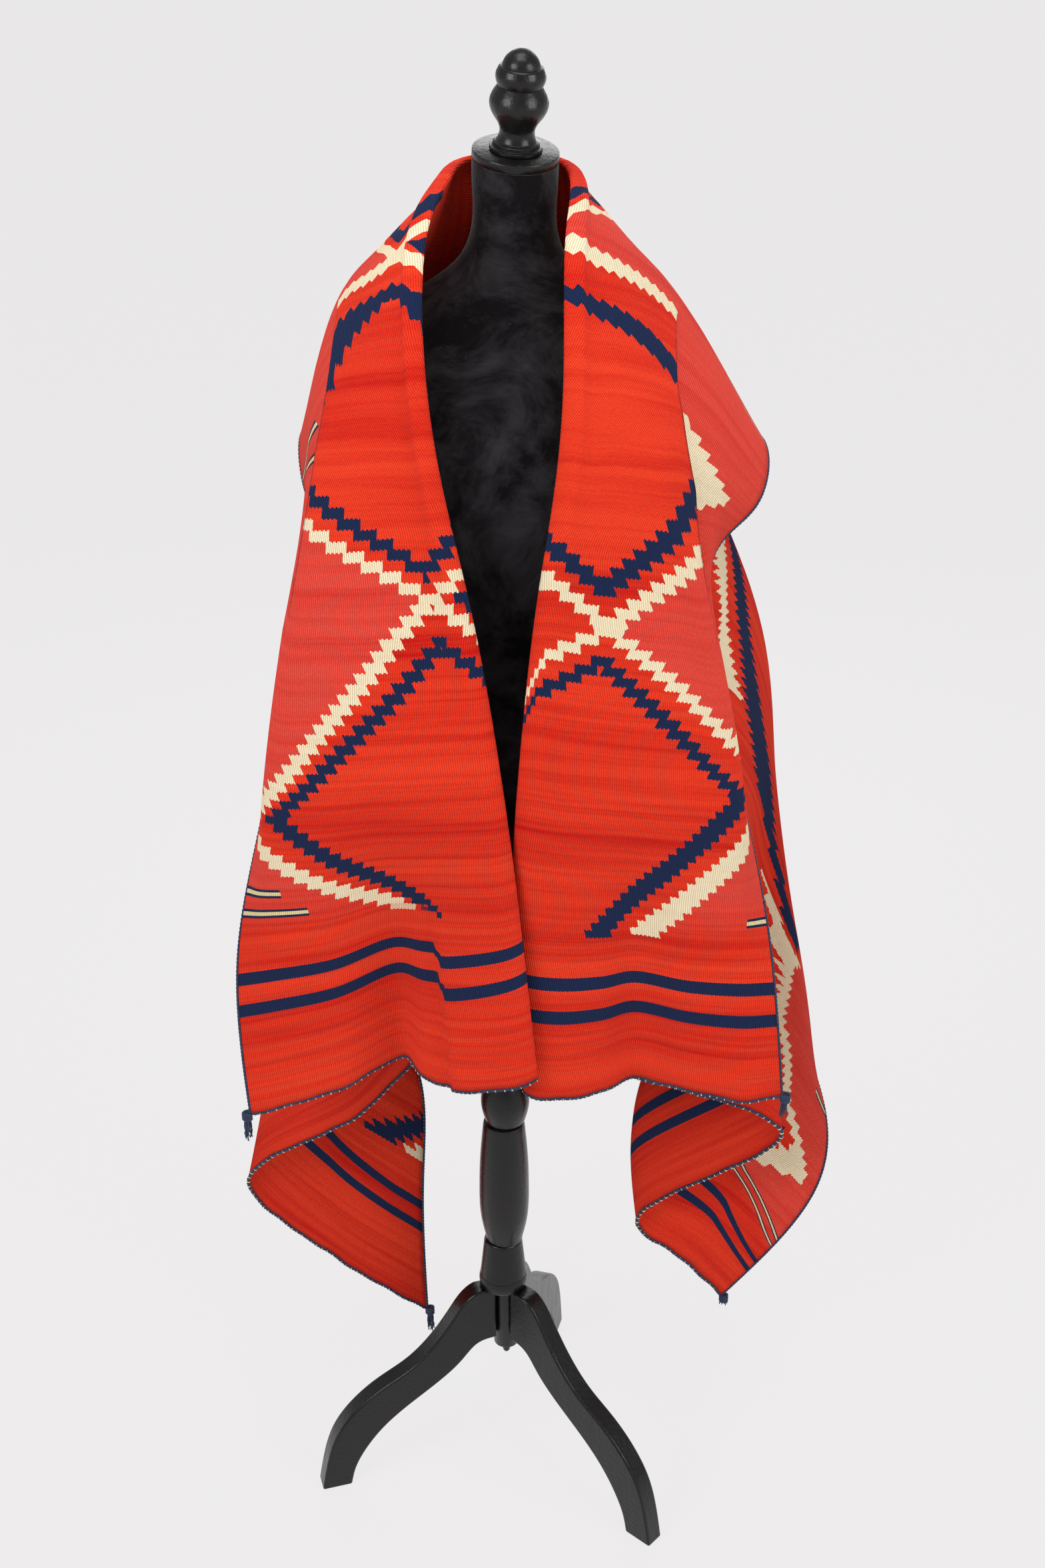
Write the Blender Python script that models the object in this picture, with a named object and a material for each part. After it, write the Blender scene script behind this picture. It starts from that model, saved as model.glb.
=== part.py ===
"""A woven serape worn as a shawl over a velvet dress form on a turned tripod stand.

Metres, +Z up, -Y towards the viewer. Everything is built with the origin on the floor under
the stand's column, and is then moved so that the origin is at the middle of its base.
The serape is one rectangular web. Its warps run along its length: from the hem at the left
front, up and round the nape, to the hem at the right front. The top quarter of its width is
turned outward all the way along, as a shawl collar.
"""
import math

import bmesh
import bpy
import numpy as np
from mathutils import Matrix, Vector

# The web: its wall, the cords along its edges and the gap between pieces
WALL = 0.0024
SEAM_GAP = 0.0003
EDGE_CORD_RADIUS = 0.0021
EDGE_CORD_GAP = 0.0008
STRAND = 0.0024
STRAND_GAP = 0.0008
STRANDS_ACROSS = 3
STRANDS_DEEP = 2
TASSEL_HEAD = 0.009
TASSEL_TOP = 0.6

# How finely the web is divided: steps along each stretch, and in each span of a rib
STEPS_FRONT = 20
STEPS_BACK = 14
FRONT_SHARE = 0.84
COLLAR_SPANS = (3, 3, 2, 2, 3, 1)
ROLL_SPANS = (1, 1)
BODY_SPANS = (1, 3, 3, 4, 4, 4)

# The fold that rolls the collar over: how far apart its two layers lie, and how deep it is
FOLD_ROLL = 0.0070
FOLD_REACH = 0.015

# Soft flutes down the lower back
FLUTE_DEPTH = 0.024
FLUTES = 4.0

# The stand leans a little to the viewer's right above its hub
LEAN = 0.0128
LEAN_FOOT = 0.29
LEAN_SIDE = -0.001
CAP_HEIGHT = 1.7165
CAP_RADIUS = 0.0437
CAP_THICK = 0.009
CAP_FORWARD = math.radians(12.0)
CAP_SIDEWAYS = math.radians(4.0)
FINIAL_SHARE = 0.955
HUB_RADIUS = 0.0165
HUB_TOP = 0.287
GAP_UNDER_COLLAR = 0.0003
LEG_BOARD = 0.026
LEG_MIDDLE = 0.003
LEG_TURNS = (196.4, 318.4, 74.8)
ROUND_STEPS = 24
TORSO_STEPS = 32


def clear_scene():
    for obj in list(bpy.data.objects):
        bpy.data.objects.remove(obj, do_unlink=True)


def material(name, colour, roughness, metallic=0.0):
    """A Principled material of one colour."""
    mat = bpy.data.materials.new(name)
    mat.use_nodes = True
    shader = mat.node_tree.nodes["Principled BSDF"]
    shader.inputs["Base Color"].default_value = (*colour, 1.0)
    shader.inputs["Roughness"].default_value = roughness
    shader.inputs["Metallic"].default_value = metallic
    return mat


def add_object(name, points, faces, mat, smooth_angle=40.0):
    """One closed mesh, its faces turned outward."""
    mesh = bpy.data.meshes.new(name)
    mesh.from_pydata([tuple(p) for p in points], [], faces)
    form = bmesh.new()
    form.from_mesh(mesh)
    bmesh.ops.recalc_face_normals(form, faces=form.faces)
    if form.calc_volume(signed=True) < 0:
        bmesh.ops.reverse_faces(form, faces=form.faces)
    form.to_mesh(mesh)
    form.free()
    mesh.materials.append(mat)
    mesh.shade_smooth()
    mesh.set_sharp_from_angle(angle=math.radians(smooth_angle))
    obj = bpy.data.objects.new(name, mesh)
    bpy.context.scene.collection.objects.link(obj)
    return obj


# Curves


def natural_spline(knots, values, places):
    """Natural cubic spline through values, a row for each knot, read at places."""
    knots = np.asarray(knots, float)
    values = np.asarray(values, float)
    places = np.asarray(places, float)
    count = len(knots)
    step = np.diff(knots)
    slope = np.diff(values, axis=0) / step[:, None]
    matrix = np.eye(count)
    right = np.zeros_like(values)
    for i in range(1, count - 1):
        matrix[i, i - 1] = step[i - 1]
        matrix[i, i] = 2 * (step[i - 1] + step[i])
        matrix[i, i + 1] = step[i]
        right[i] = 6 * (slope[i] - slope[i - 1])
    bend = np.linalg.solve(matrix, right)
    i = np.clip(np.searchsorted(knots, places, side="right") - 1, 0, count - 2)
    a = ((knots[i + 1] - places) / step[i])[:, None]
    b = 1 - a
    square = (step[i] ** 2 / 6)[:, None]
    curve = (a ** 3 - a) * bend[i] + (b ** 3 - b) * bend[i + 1]
    return a * values[i] + b * values[i + 1] + curve * square


def rib_curve(rib, spans):
    """A curve through a rib's points that doesn't swing past them, with steps in each span."""
    first = 2 * rib[0] - rib[1]
    last = 2 * rib[-1] - rib[-2]
    held = np.concatenate([[first], rib, [last]])
    gaps = np.sqrt(np.linalg.norm(np.diff(held, axis=0), axis=1))
    knots = np.concatenate([[0.0], np.cumsum(gaps)])
    points = [rib[0]]
    for i, steps in enumerate(spans, start=1):
        p0, p1, p2, p3 = held[i - 1:i + 3]
        t0, t1, t2, t3 = knots[i - 1:i + 3]
        for k in range(1, steps + 1):
            t = t1 + (t2 - t1) * k / steps
            a1 = ((t1 - t) * p0 + (t - t0) * p1) / (t1 - t0)
            a2 = ((t2 - t) * p1 + (t - t1) * p2) / (t2 - t1)
            a3 = ((t3 - t) * p2 + (t - t2) * p3) / (t3 - t2)
            b1 = ((t2 - t) * a1 + (t - t0) * a2) / (t2 - t0)
            b2 = ((t3 - t) * a2 + (t - t1) * a3) / (t3 - t1)
            points.append(((t2 - t) * b1 + (t - t1) * b2) / (t2 - t1))
    return np.array(points)


# The web. Each row is a rib across it, at a distance in metres along the fold from that
# side's hem. Each column is a place on the rib, in centimetres: x to the viewer's right,
# y back and z up. The collar's columns run from its free edge in to the fold, and the
# body's from behind the fold out to the other edge.
COLLAR_COLUMNS = ("free", "bend", "outer", "dip", "step", "near", "fold")
BODY_COLUMNS = ("under", "front", "flank", "side", "back", "bottom")

LEFT_COLLAR = (
    (0.00, (-29.4, -12.8, 65.2), (-25.5, -12.4, 66.0), (-18.5, -10.8, 67.6),
     (-11.6, -8.0, 70.0), (-9.0, -13.2, 70.5), (-3.5, -16.9, 71.4), (4.1, -16.9, 73.0)),
    (0.20, (-29.8, -11.4, 85.0), (-26.0, -13.0, 86.5), (-19.0, -13.4, 88.0),
     (-12.2, -12.2, 90.0), (-8.4, -14.6, 91.0), (-3.2, -17.1, 92.0), (2.2, -17.2, 93.0)),
    (0.42, (-25.6, -7.0, 106.0), (-25.6, -12.2, 105.5), (-19.5, -15.0, 106.5),
     (-13.5, -16.0, 107.5), (-8.8, -16.6, 108.0), (-4.0, -17.1, 108.5), (0.4, -16.8, 109.0)),
    (0.64, (-20.5, -4.0, 133.0), (-21.4, -12.4, 129.5), (-17.3, -14.6, 130.0),
     (-13.5, -15.8, 130.5), (-10.0, -16.5, 131.0), (-6.4, -16.9, 131.3), (-3.1, -16.8, 131.5)),
    (0.84, (-21.4, 3.5, 137.5), (-17.6, -8.6, 150.0), (-15.4, -10.6, 151.4),
     (-13.2, -12.2, 152.2), (-11.0, -13.6, 152.8), (-9.0, -14.7, 153.2), (-7.0, -14.9, 153.6)),
    (0.95, (-21.8, 9.0, 141.0), (-17.0, 0.3, 156.4), (-14.9, -1.8, 160.0),
     (-12.6, -4.6, 162.2), (-10.6, -6.8, 164.0), (-8.8, -8.4, 165.4), (-6.8, -9.2, 166.2)),
    (1.04, (-17.4, 14.6, 140.0), (-14.6, 9.6, 151.6), (-12.2, 6.6, 158.6),
     (-9.8, 4.4, 163.2), (-7.8, 2.6, 166.4), (-6.2, 1.2, 168.6), (-4.6, -0.4, 170.2)),
    (1.09, (-9.0, 16.8, 139.0), (-7.8, 13.0, 150.8), (-6.6, 10.4, 158.4),
     (-5.6, 8.4, 163.4), (-4.6, 6.6, 167.2), (-3.6, 5.2, 169.8), (-2.7, 4.2, 171.0)),
)
LEFT_BODY = (
    (0.00, (-4.0, -10.4, 71.2), (-8.7, -5.4, 69.0), (-17.9, -3.6, 58.2),
     (-32.6, 0.8, 45.0), (-21.8, 5.6, 27.6), (-10.8, 8.0, 17.1)),
    (0.20, (-4.6, -12.6, 92.0), (-12.0, -8.6, 89.0), (-20.5, -5.6, 79.0),
     (-28.4, 1.4, 66.0), (-22.6, 6.6, 50.0), (-11.0, 9.4, 38.0)),
    (0.42, (-6.6, -13.6, 107.5), (-14.4, -11.2, 105.5), (-21.6, -5.4, 99.0),
     (-25.6, 2.6, 88.0), (-24.0, 9.0, 71.0), (-12.8, 11.2, 58.0)),
    (0.64, (-7.8, -14.4, 130.5), (-14.0, -12.0, 128.0), (-19.0, -5.0, 121.5),
     (-22.4, 4.4, 107.0), (-26.0, 12.4, 86.0), (-25.6, 16.4, 66.5)),
    (0.84, (-10.6, -11.8, 150.6), (-15.0, -6.4, 147.0), (-17.6, 1.6, 138.0),
     (-18.8, 9.4, 121.0), (-20.6, 15.4, 95.0), (-22.4, 19.2, 70.5)),
    (0.95, (-9.2, -6.2, 162.4), (-13.0, -1.2, 156.8), (-15.8, 4.6, 144.0),
     (-14.2, 11.6, 122.0), (-13.8, 16.2, 95.5), (-14.2, 18.4, 71.2)),
    (1.04, (-6.2, 2.8, 164.6), (-9.0, 5.5, 156.7), (-11.2, 9.6, 143.0),
     (-9.4, 13.4, 121.5), (-8.6, 15.9, 95.5), (-8.6, 17.4, 71.4)),
    (1.09, (-3.2, 5.6, 165.0), (-4.6, 8.4, 156.8), (-5.2, 11.6, 143.0),
     (-4.2, 14.2, 121.5), (-4.0, 16.2, 95.5), (-4.0, 17.5, 71.4)),
)
RIGHT_COLLAR = (
    (0.00, (32.6, -13.2, 68.0), (28.6, -14.2, 68.0), (22.4, -12.6, 68.2),
     (15.6, -10.4, 68.6), (11.8, -13.2, 68.8), (7.2, -15.2, 69.0), (2.6, -14.6, 69.8)),
    (0.20, (30.2, -12.4, 88.0), (26.8, -13.8, 88.6), (20.8, -14.4, 89.2),
     (15.0, -13.6, 89.8), (11.2, -15.0, 90.2), (6.4, -16.0, 90.8), (1.4, -14.9, 91.6)),
    (0.42, (26.0, -8.2, 107.5), (26.2, -12.6, 107.0), (20.2, -15.2, 108.5),
     (15.0, -16.4, 109.5), (11.0, -16.9, 110.2), (6.4, -17.4, 111.0), (2.1, -17.0, 111.6)),
    (0.64, (22.0, -8.6, 131.4), (21.6, -12.4, 129.0), (18.2, -14.6, 130.4),
     (15.0, -15.6, 131.2), (11.8, -16.4, 131.8), (8.0, -16.9, 132.4), (4.2, -16.8, 132.6)),
    (0.84, (27.6, -2.4, 137.4), (18.2, -9.2, 149.4), (16.0, -11.0, 150.8),
     (13.8, -12.6, 151.8), (11.4, -13.9, 152.6), (9.0, -15.0, 153.0), (6.5, -15.0, 153.4)),
    (0.95, (28.8, 6.6, 140.6), (20.2, 1.2, 154.8), (16.6, -1.4, 159.4),
     (13.8, -4.2, 162.0), (11.2, -6.6, 163.8), (8.8, -8.4, 165.2), (6.7, -9.0, 166.0)),
    (1.04, (22.8, 14.8, 140.0), (18.8, 9.6, 151.2), (15.6, 6.6, 158.2),
     (12.8, 4.4, 162.8), (10.6, 2.6, 166.2), (8.8, 1.2, 168.4), (7.2, -0.4, 170.2)),
    (1.09, (12.0, 16.8, 139.0), (10.6, 13.0, 150.8), (9.2, 10.4, 158.4),
     (8.2, 8.4, 163.4), (7.2, 6.6, 167.2), (6.2, 5.2, 169.8), (5.3, 4.2, 171.0)),
)
RIGHT_BODY = (
    (0.00, (8.2, -9.4, 69.6), (16.9, -7.0, 66.0), (34.0, -7.0, 58.4),
     (17.4, 3.0, 36.6), (24.4, 4.4, 28.4), (29.4, 5.2, 22.0)),
    (0.20, (8.0, -11.6, 91.0), (17.0, -9.6, 88.0), (31.4, -3.6, 78.0),
     (18.2, 5.4, 58.0), (32.4, 5.6, 50.0), (40.6, 3.6, 41.5)),
    (0.42, (8.4, -13.8, 108.5), (16.6, -10.8, 107.0), (27.0, -3.8, 100.5),
     (30.5, 4.0, 85.0), (37.4, 4.6, 70.0), (40.0, 8.6, 56.5)),
    (0.64, (8.8, -14.2, 130.5), (15.6, -11.2, 129.5), (24.5, -3.6, 123.5),
     (31.0, 3.6, 107.0), (33.4, 10.6, 87.0), (35.0, 15.0, 66.0)),
    (0.84, (10.8, -11.6, 150.4), (16.2, -5.8, 147.6), (21.6, 1.5, 139.5),
     (26.6, 7.2, 122.5), (27.2, 14.5, 96.0), (26.6, 19.0, 70.5)),
    (0.95, (9.6, -6.0, 162.2), (15.0, -1.0, 156.8), (19.0, 4.8, 144.0),
     (18.4, 11.6, 122.0), (17.4, 16.2, 95.5), (17.0, 18.4, 71.2)),
    (1.04, (8.8, 2.8, 164.4), (12.0, 5.8, 156.8), (14.2, 9.6, 143.0),
     (12.4, 13.4, 121.5), (11.4, 15.9, 95.5), (11.2, 17.4, 71.4)),
    (1.09, (5.8, 5.6, 165.0), (7.2, 8.4, 156.8), (7.8, 11.6, 143.0),
     (6.8, 14.2, 121.5), (6.6, 16.2, 95.5), (6.6, 17.5, 71.4)),
)
NAPE_ALONG = 1.13
NAPE_COLLAR = ((1.3, 17.8, 138.4), (1.3, 14.4, 150.6), (1.3, 11.8, 158.2),
               (1.3, 9.8, 163.4), (1.3, 8.1, 167.4), (1.3, 6.8, 170.0), (1.3, 5.8, 171.2))
NAPE_BODY = ((1.3, 6.8, 165.0), (1.3, 9.2, 156.8), (1.3, 12.0, 143.0), (1.3, 14.4, 121.5),
             (1.3, 16.4, 95.5), (1.3, 17.6, 71.4))


def web_rows():
    """The ribs from the left hem to the right one: distances along, and points in metres."""
    along = []
    ribs = []
    for collar, body in zip(LEFT_COLLAR, LEFT_BODY):
        along.append(collar[0])
        ribs.append(collar[1:] + body[1:])
    along.append(NAPE_ALONG)
    ribs.append(NAPE_COLLAR + NAPE_BODY)
    for collar, body in zip(reversed(RIGHT_COLLAR), reversed(RIGHT_BODY)):
        along.append(2 * NAPE_ALONG - collar[0])
        ribs.append(collar[1:] + body[1:])
    return np.array(along), np.array(ribs, float) / 100.0


def with_rolled_fold(rib):
    """A rib whose fold is opened into a hairpin, so that the web turns back on a roll."""
    fold = COLLAR_COLUMNS.index("fold")
    tip = rib[fold]
    outward = tip - rib[fold - 1]
    outward /= np.linalg.norm(outward)
    across = rib[fold - 1] - rib[fold + 1]
    across -= outward * np.dot(across, outward)
    across /= np.linalg.norm(across)
    outer = tip - outward * FOLD_REACH + across * FOLD_ROLL
    inner = tip - outward * FOLD_REACH - across * FOLD_ROLL
    return np.concatenate([rib[:fold], [outer, tip, inner], rib[fold + 1:]])


def surface_normals(grid):
    """Unit normals of a grid of points, towards the web's outer face."""
    along = np.gradient(grid, axis=0)
    across = np.gradient(grid, axis=1)
    normal = np.cross(along, across)
    return normal / np.maximum(np.linalg.norm(normal, axis=2, keepdims=True), 1e-9)


def with_flutes(grid, places):
    """The lower back moved in and out in soft flutes that fade towards its fronts and top."""
    columns = grid.shape[1]
    down = np.linspace(0.0, 1.0, columns)[None, :, None]
    low = np.clip((down - 0.6) / 0.4, 0.0, 1.0) ** 1.5
    turn = (places - NAPE_ALONG) / (NAPE_ALONG * 0.62)
    near_back = np.clip(1.0 - turn ** 2, 0.0, 1.0)[:, None, None]
    wave = np.cos(math.pi * FLUTES * turn)[:, None, None]
    away = np.array([0.0, 1.0, 0.0])
    return grid + away * wave * low * near_back * FLUTE_DEPTH


def web_points(places):
    """The web's middle surface: a row of points for each place along it."""
    along, ribs = web_rows()
    columns = [natural_spline(along, ribs[:, i], places) for i in range(ribs.shape[1])]
    spans = COLLAR_SPANS + ROLL_SPANS + BODY_SPANS
    rows = []
    for i in range(len(places)):
        rib = with_rolled_fold(np.array([column[i] for column in columns]))
        rows.append(rib_curve(rib, spans))
    return with_flutes(np.array(rows), places)


def wall_mesh(grid, normals):
    """A closed wall with the grid of points along its middle."""
    rows, columns = grid.shape[:2]
    outer = grid + normals * WALL / 2
    inner = grid - normals * WALL / 2
    points = np.concatenate([outer.reshape(-1, 3), inner.reshape(-1, 3)])

    def at(i, j, side):
        return side * rows * columns + i * columns + j

    faces = []
    for i in range(rows - 1):
        for j in range(columns - 1):
            faces.append((at(i, j, 0), at(i + 1, j, 0), at(i + 1, j + 1, 0), at(i, j + 1, 0)))
            faces.append((at(i, j, 1), at(i, j + 1, 1), at(i + 1, j + 1, 1), at(i + 1, j, 1)))
        for j in (0, columns - 1):
            faces.append((at(i, j, 0), at(i + 1, j, 0), at(i + 1, j, 1), at(i, j, 1)))
    for j in range(columns - 1):
        for i in (0, rows - 1):
            faces.append((at(i, j, 0), at(i, j + 1, 0), at(i, j + 1, 1), at(i, j, 1)))
    return points, faces


def parted(grid, first_row, last_row, first_column, last_column):
    """A stretch of the grid, drawn in by half a seam's gap along its cut edges."""
    part = grid[first_row:last_row + 1, first_column:last_column + 1].copy()

    def draw_in(edge, inside):
        way = inside - edge
        return edge + way / np.linalg.norm(way, axis=-1, keepdims=True) * SEAM_GAP / 2

    if first_row > 0:
        part[0] = draw_in(part[0], part[1])
    if last_row < grid.shape[0] - 1:
        part[-1] = draw_in(part[-1], part[-2])
    if first_column > 0:
        part[:, 0] = draw_in(part[:, 0], part[:, 1])
    if last_column < grid.shape[1] - 1:
        part[:, -1] = draw_in(part[:, -1], part[:, -2])
    return part


def build_web(cloth):
    """The six stretches of the web that show, cut from one surface."""
    front = np.linspace(0.0, FRONT_SHARE, STEPS_FRONT + 1)
    back = np.linspace(FRONT_SHARE, 2 * NAPE_ALONG - FRONT_SHARE, STEPS_BACK + 1)
    places = np.concatenate([front, back[1:], (2 * NAPE_ALONG - front)[::-1][1:]])
    grid = web_points(places)
    normals = surface_normals(grid)
    under = BODY_COLUMNS.index("under") + 1
    cut = sum(COLLAR_SPANS) + sum(ROLL_SPANS) + sum(BODY_SPANS[:under])
    last_row, last_column = grid.shape[0] - 1, grid.shape[1] - 1
    rows = {
        "left": (0, STEPS_FRONT),
        "back": (STEPS_FRONT, STEPS_FRONT + STEPS_BACK),
        "right": (STEPS_FRONT + STEPS_BACK, last_row),
    }
    columns = {"collar": (0, cut), "body": (cut, last_column)}
    for side, (first, last) in rows.items():
        for band, (start, end) in columns.items():
            part = parted(grid, first, last, start, end)
            part_normals = normals[first:last + 1, start:end + 1]
            points, faces = wall_mesh(part, part_normals)
            add_object(f"serape_{side}_{band}", points, faces, cloth)
    return grid, normals


def cord_mesh(line, out, normals):
    """A four-sided cord that follows an edge of the web, just outside it."""
    centre = line + out * (EDGE_CORD_RADIUS + EDGE_CORD_GAP)
    points = []
    for place, way, normal in zip(centre, out, normals):
        for a, b in ((1, 0), (0, 1), (-1, 0), (0, -1)):
            points.append(place + (way * a + normal * b) * EDGE_CORD_RADIUS)
    faces = [(0, 1, 2, 3)]
    for i in range(len(centre) - 1):
        for k in range(4):
            a, b = i * 4 + k, i * 4 + (k + 1) % 4
            faces.append((a, a + 4, b + 4, b))
    last = (len(centre) - 1) * 4
    faces.append((last + 3, last + 2, last + 1, last))
    return points, faces


def build_edge_cords(grid, normals, dyed):
    """Twined cords along the two ends of the web and down its two long edges."""
    edges = {
        "end_cord_left": (grid[0], grid[1], normals[0]),
        "end_cord_right": (grid[-1], grid[-2], normals[-1]),
        "selvage_cord_collar": (grid[:, 0], grid[:, 1], normals[:, 0]),
        "selvage_cord_body": (grid[:, -1], grid[:, -2], normals[:, -1]),
    }
    for name, (line, inside, across) in edges.items():
        out = np.cross(np.gradient(line, axis=0), across)
        out /= np.linalg.norm(out, axis=1, keepdims=True)
        out *= np.sign(np.sum(out * (line - inside), axis=1, keepdims=True))
        points, faces = cord_mesh(line, out, across)
        add_object(name, points, faces, dyed)


# The tassels at the web's corners: which end and edge, how long the strands are, and how far
# the head stands off the corner sideways and down, in metres
TASSEL_COLUMNS = ("name", "end", "edge", "length", "aside", "down")
TASSELS = (
    ("tassel_left_collar", 0, 0, 0.030, -0.0055, 0.0097),
    ("tassel_left_body", 0, -1, 0.034, 0.0050, 0.0094),
    ("tassel_right_collar", -1, 0, 0.024, 0.0055, 0.0092),
    ("tassel_right_body", -1, -1, 0.008, 0.0030, 0.0122),
)


def tassel_mesh(length):
    """A wrapped head with square strands below it, in two bent lengths that spread a little."""
    pitch = STRAND + STRAND_GAP
    across = sorted(i * pitch + s for i in range(STRANDS_ACROSS) for s in (0.0, STRAND))
    deep = sorted(i * pitch + s for i in range(STRANDS_DEEP) for s in (0.0, STRAND))
    middle = Vector((across[-1] / 2, deep[-1] / 2, 0.0))
    form = bmesh.new()
    plate = [[form.verts.new(Vector((x, y, 0.0)) - middle) for y in deep] for x in across]
    roots = []
    for i in range(len(across) - 1):
        for j in range(len(deep) - 1):
            face = form.faces.new((plate[i][j], plate[i][j + 1], plate[i + 1][j + 1],
                                   plate[i + 1][j]))
            if i % 2 == 0 and j % 2 == 0:
                roots.append(face)
    rim = [edge for edge in form.edges if edge.is_boundary]
    raised = bmesh.ops.extrude_edge_only(form, edges=rim)["geom"]
    top = [item for item in raised if isinstance(item, bmesh.types.BMVert)]
    for vert in top:
        vert.co = Vector((vert.co.x * TASSEL_TOP, vert.co.y * TASSEL_TOP, TASSEL_HEAD))
    bmesh.ops.edgeloop_fill(form, edges=[e for e in form.edges if e.is_boundary])
    tips = roots
    for spread in (1.15, 1.35):
        tips = bmesh.ops.extrude_discrete_faces(form, faces=tips)["faces"]
        for face in tips:
            centre = face.calc_center_median()
            move = Vector((centre.x * (spread - 1), centre.y * (spread - 1), -length / 2))
            for vert in face.verts:
                vert.co += move
    points = [vert.co.copy() for vert in form.verts]
    form.verts.index_update()
    faces = [tuple(vert.index for vert in face.verts) for face in form.faces]
    form.free()
    return points, faces


def build_tassels(grid, dyed):
    for row in TASSELS:
        tassel = dict(zip(TASSEL_COLUMNS, row))
        corner = Vector(grid[tassel["end"], tassel["edge"]])
        place = corner + Vector((tassel["aside"], 0.0, -tassel["down"]))
        points, faces = tassel_mesh(tassel["length"])
        add_object(tassel["name"], [place + point for point in points], faces, dyed)


# The dress form: a row for each ring of the torso, in centimetres. Forward is how far the
# ring is tipped towards the front, in degrees.
TORSO_COLUMNS = ("height", "half_width", "front", "back", "forward")
TORSO = (
    (100.0, 13.6, 9.6, 9.6, 0),
    (101.2, 14.4, 10.2, 10.2, 0),
    (105.0, 14.2, 10.0, 10.0, 0),
    (111.0, 12.6, 8.9, 8.8, 0),
    (118.0, 11.6, 8.4, 8.2, 0),
    (125.0, 12.6, 9.4, 8.8, 0),
    (132.0, 14.0, 11.4, 9.4, 0),
    (138.0, 14.6, 11.9, 9.8, 0),
    (144.0, 14.8, 10.8, 9.9, 0),
    (149.5, 15.3, 9.2, 10.55, 0),
    (153.5, 14.87, 7.8, 9.13, 0),
    (156.5, 12.7, 6.6, 7.8, 0),
    (158.8, 9.6, 5.6, 6.6, 1),
    (161.0, 6.4, 4.9, 5.4, 3),
    (163.5, 4.7, 4.4, 4.7, 6),
    (166.5, 4.2, 4.2, 4.3, 9),
    (169.0, 4.3, 4.2, 4.3, 12),
    (171.62, 4.35, 4.3, 4.35, 12),
)


def lean_at(height):
    """How far to the side the leaning stand's axis is at a height."""
    return LEAN_SIDE + max(0.0, height - LEAN_FOOT) * LEAN


def loft_faces(rings, steps):
    """Faces for rings of points, closed at both ends."""
    faces = [tuple(range(steps))]
    for i in range(rings - 1):
        for k in range(steps):
            a, b = i * steps + k, i * steps + (k + 1) % steps
            faces.append((a, b, b + steps, a + steps))
    faces.append(tuple((rings - 1) * steps + k for k in reversed(range(steps))))
    return faces


def build_torso(velvet):
    points = []
    for row in TORSO:
        ring = dict(zip(TORSO_COLUMNS, row))
        height = ring["height"] / 100
        tip = math.tan(math.radians(ring["forward"]))
        side_tip = math.tan(CAP_SIDEWAYS) * ring["forward"] / math.degrees(CAP_FORWARD)
        for k in range(TORSO_STEPS):
            angle = 2 * math.pi * k / TORSO_STEPS
            x = ring["half_width"] / 100 * math.cos(angle)
            depth = ring["front"] if math.sin(angle) < 0 else ring["back"]
            y = depth / 100 * math.sin(angle)
            points.append((lean_at(height) + x, y, height + y * tip - x * side_tip))
    faces = loft_faces(len(TORSO), TORSO_STEPS)
    add_object("torso", points, faces, velvet, 60.0)


def cap_frame():
    """Where the neck cap sits: on the neck, tipped forward and a little to one side."""
    seat = Matrix.Translation(Vector((lean_at(CAP_HEIGHT), 0.0, CAP_HEIGHT)))
    return seat @ Matrix.Rotation(CAP_FORWARD, 4, "X") @ Matrix.Rotation(CAP_SIDEWAYS, 4, "Y")


def turned(name, profile, place, mat, steps=ROUND_STEPS):
    """A turned piece: rings of (radius, height) about its own axis, closed at both ends."""
    points = []
    for radius, height in profile:
        for k in range(steps):
            angle = 2 * math.pi * k / steps
            spot = Vector((radius * math.cos(angle), radius * math.sin(angle), height))
            points.append(place @ spot)
    add_object(name, points, loft_faces(len(profile), steps), mat, 35.0)


def arc_profile(start, end, bulge, steps):
    """Profile points from start to end, swelling by bulge half way."""
    points = []
    for k in range(steps + 1):
        t = k / steps
        swell = bulge * math.sin(math.pi * t)
        points.append((start[0] + (end[0] - start[0]) * t + swell,
                       start[1] + (end[1] - start[1]) * t))
    return points


def build_cap_and_finial(wood):
    frame = cap_frame()
    lip = 0.0012
    cap = [(CAP_RADIUS - lip, 0.0), (CAP_RADIUS, lip), (CAP_RADIUS, CAP_THICK - lip),
           (CAP_RADIUS - lip, CAP_THICK)]
    turned("neck_cap", cap, frame, wood)
    base = CAP_THICK + SEAM_GAP
    finial = [(0.0268, 0.0), (0.0268, 0.004), (0.0236, 0.0048), (0.0236, 0.0088),
              (0.0200, 0.0100)]
    finial += arc_profile((0.0200, 0.0100), (0.0210, 0.0300), -0.0030, 5)[1:]
    finial += arc_profile((0.0210, 0.0300), (0.0222, 0.0665), 0.0078, 7)[1:]
    finial += arc_profile((0.0228, 0.0675), (0.0218, 0.0855), 0.0026, 5)
    finial += [(0.0190, 0.0865), (0.0180, 0.0905), (0.0150, 0.0958), (0.0105, 0.1002),
               (0.0050, 0.1030)]
    finial = [(radius, height * FINIAL_SHARE) for radius, height in finial]
    turned("finial", finial, frame @ Matrix.Translation(Vector((0, 0, base))), wood)


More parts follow.
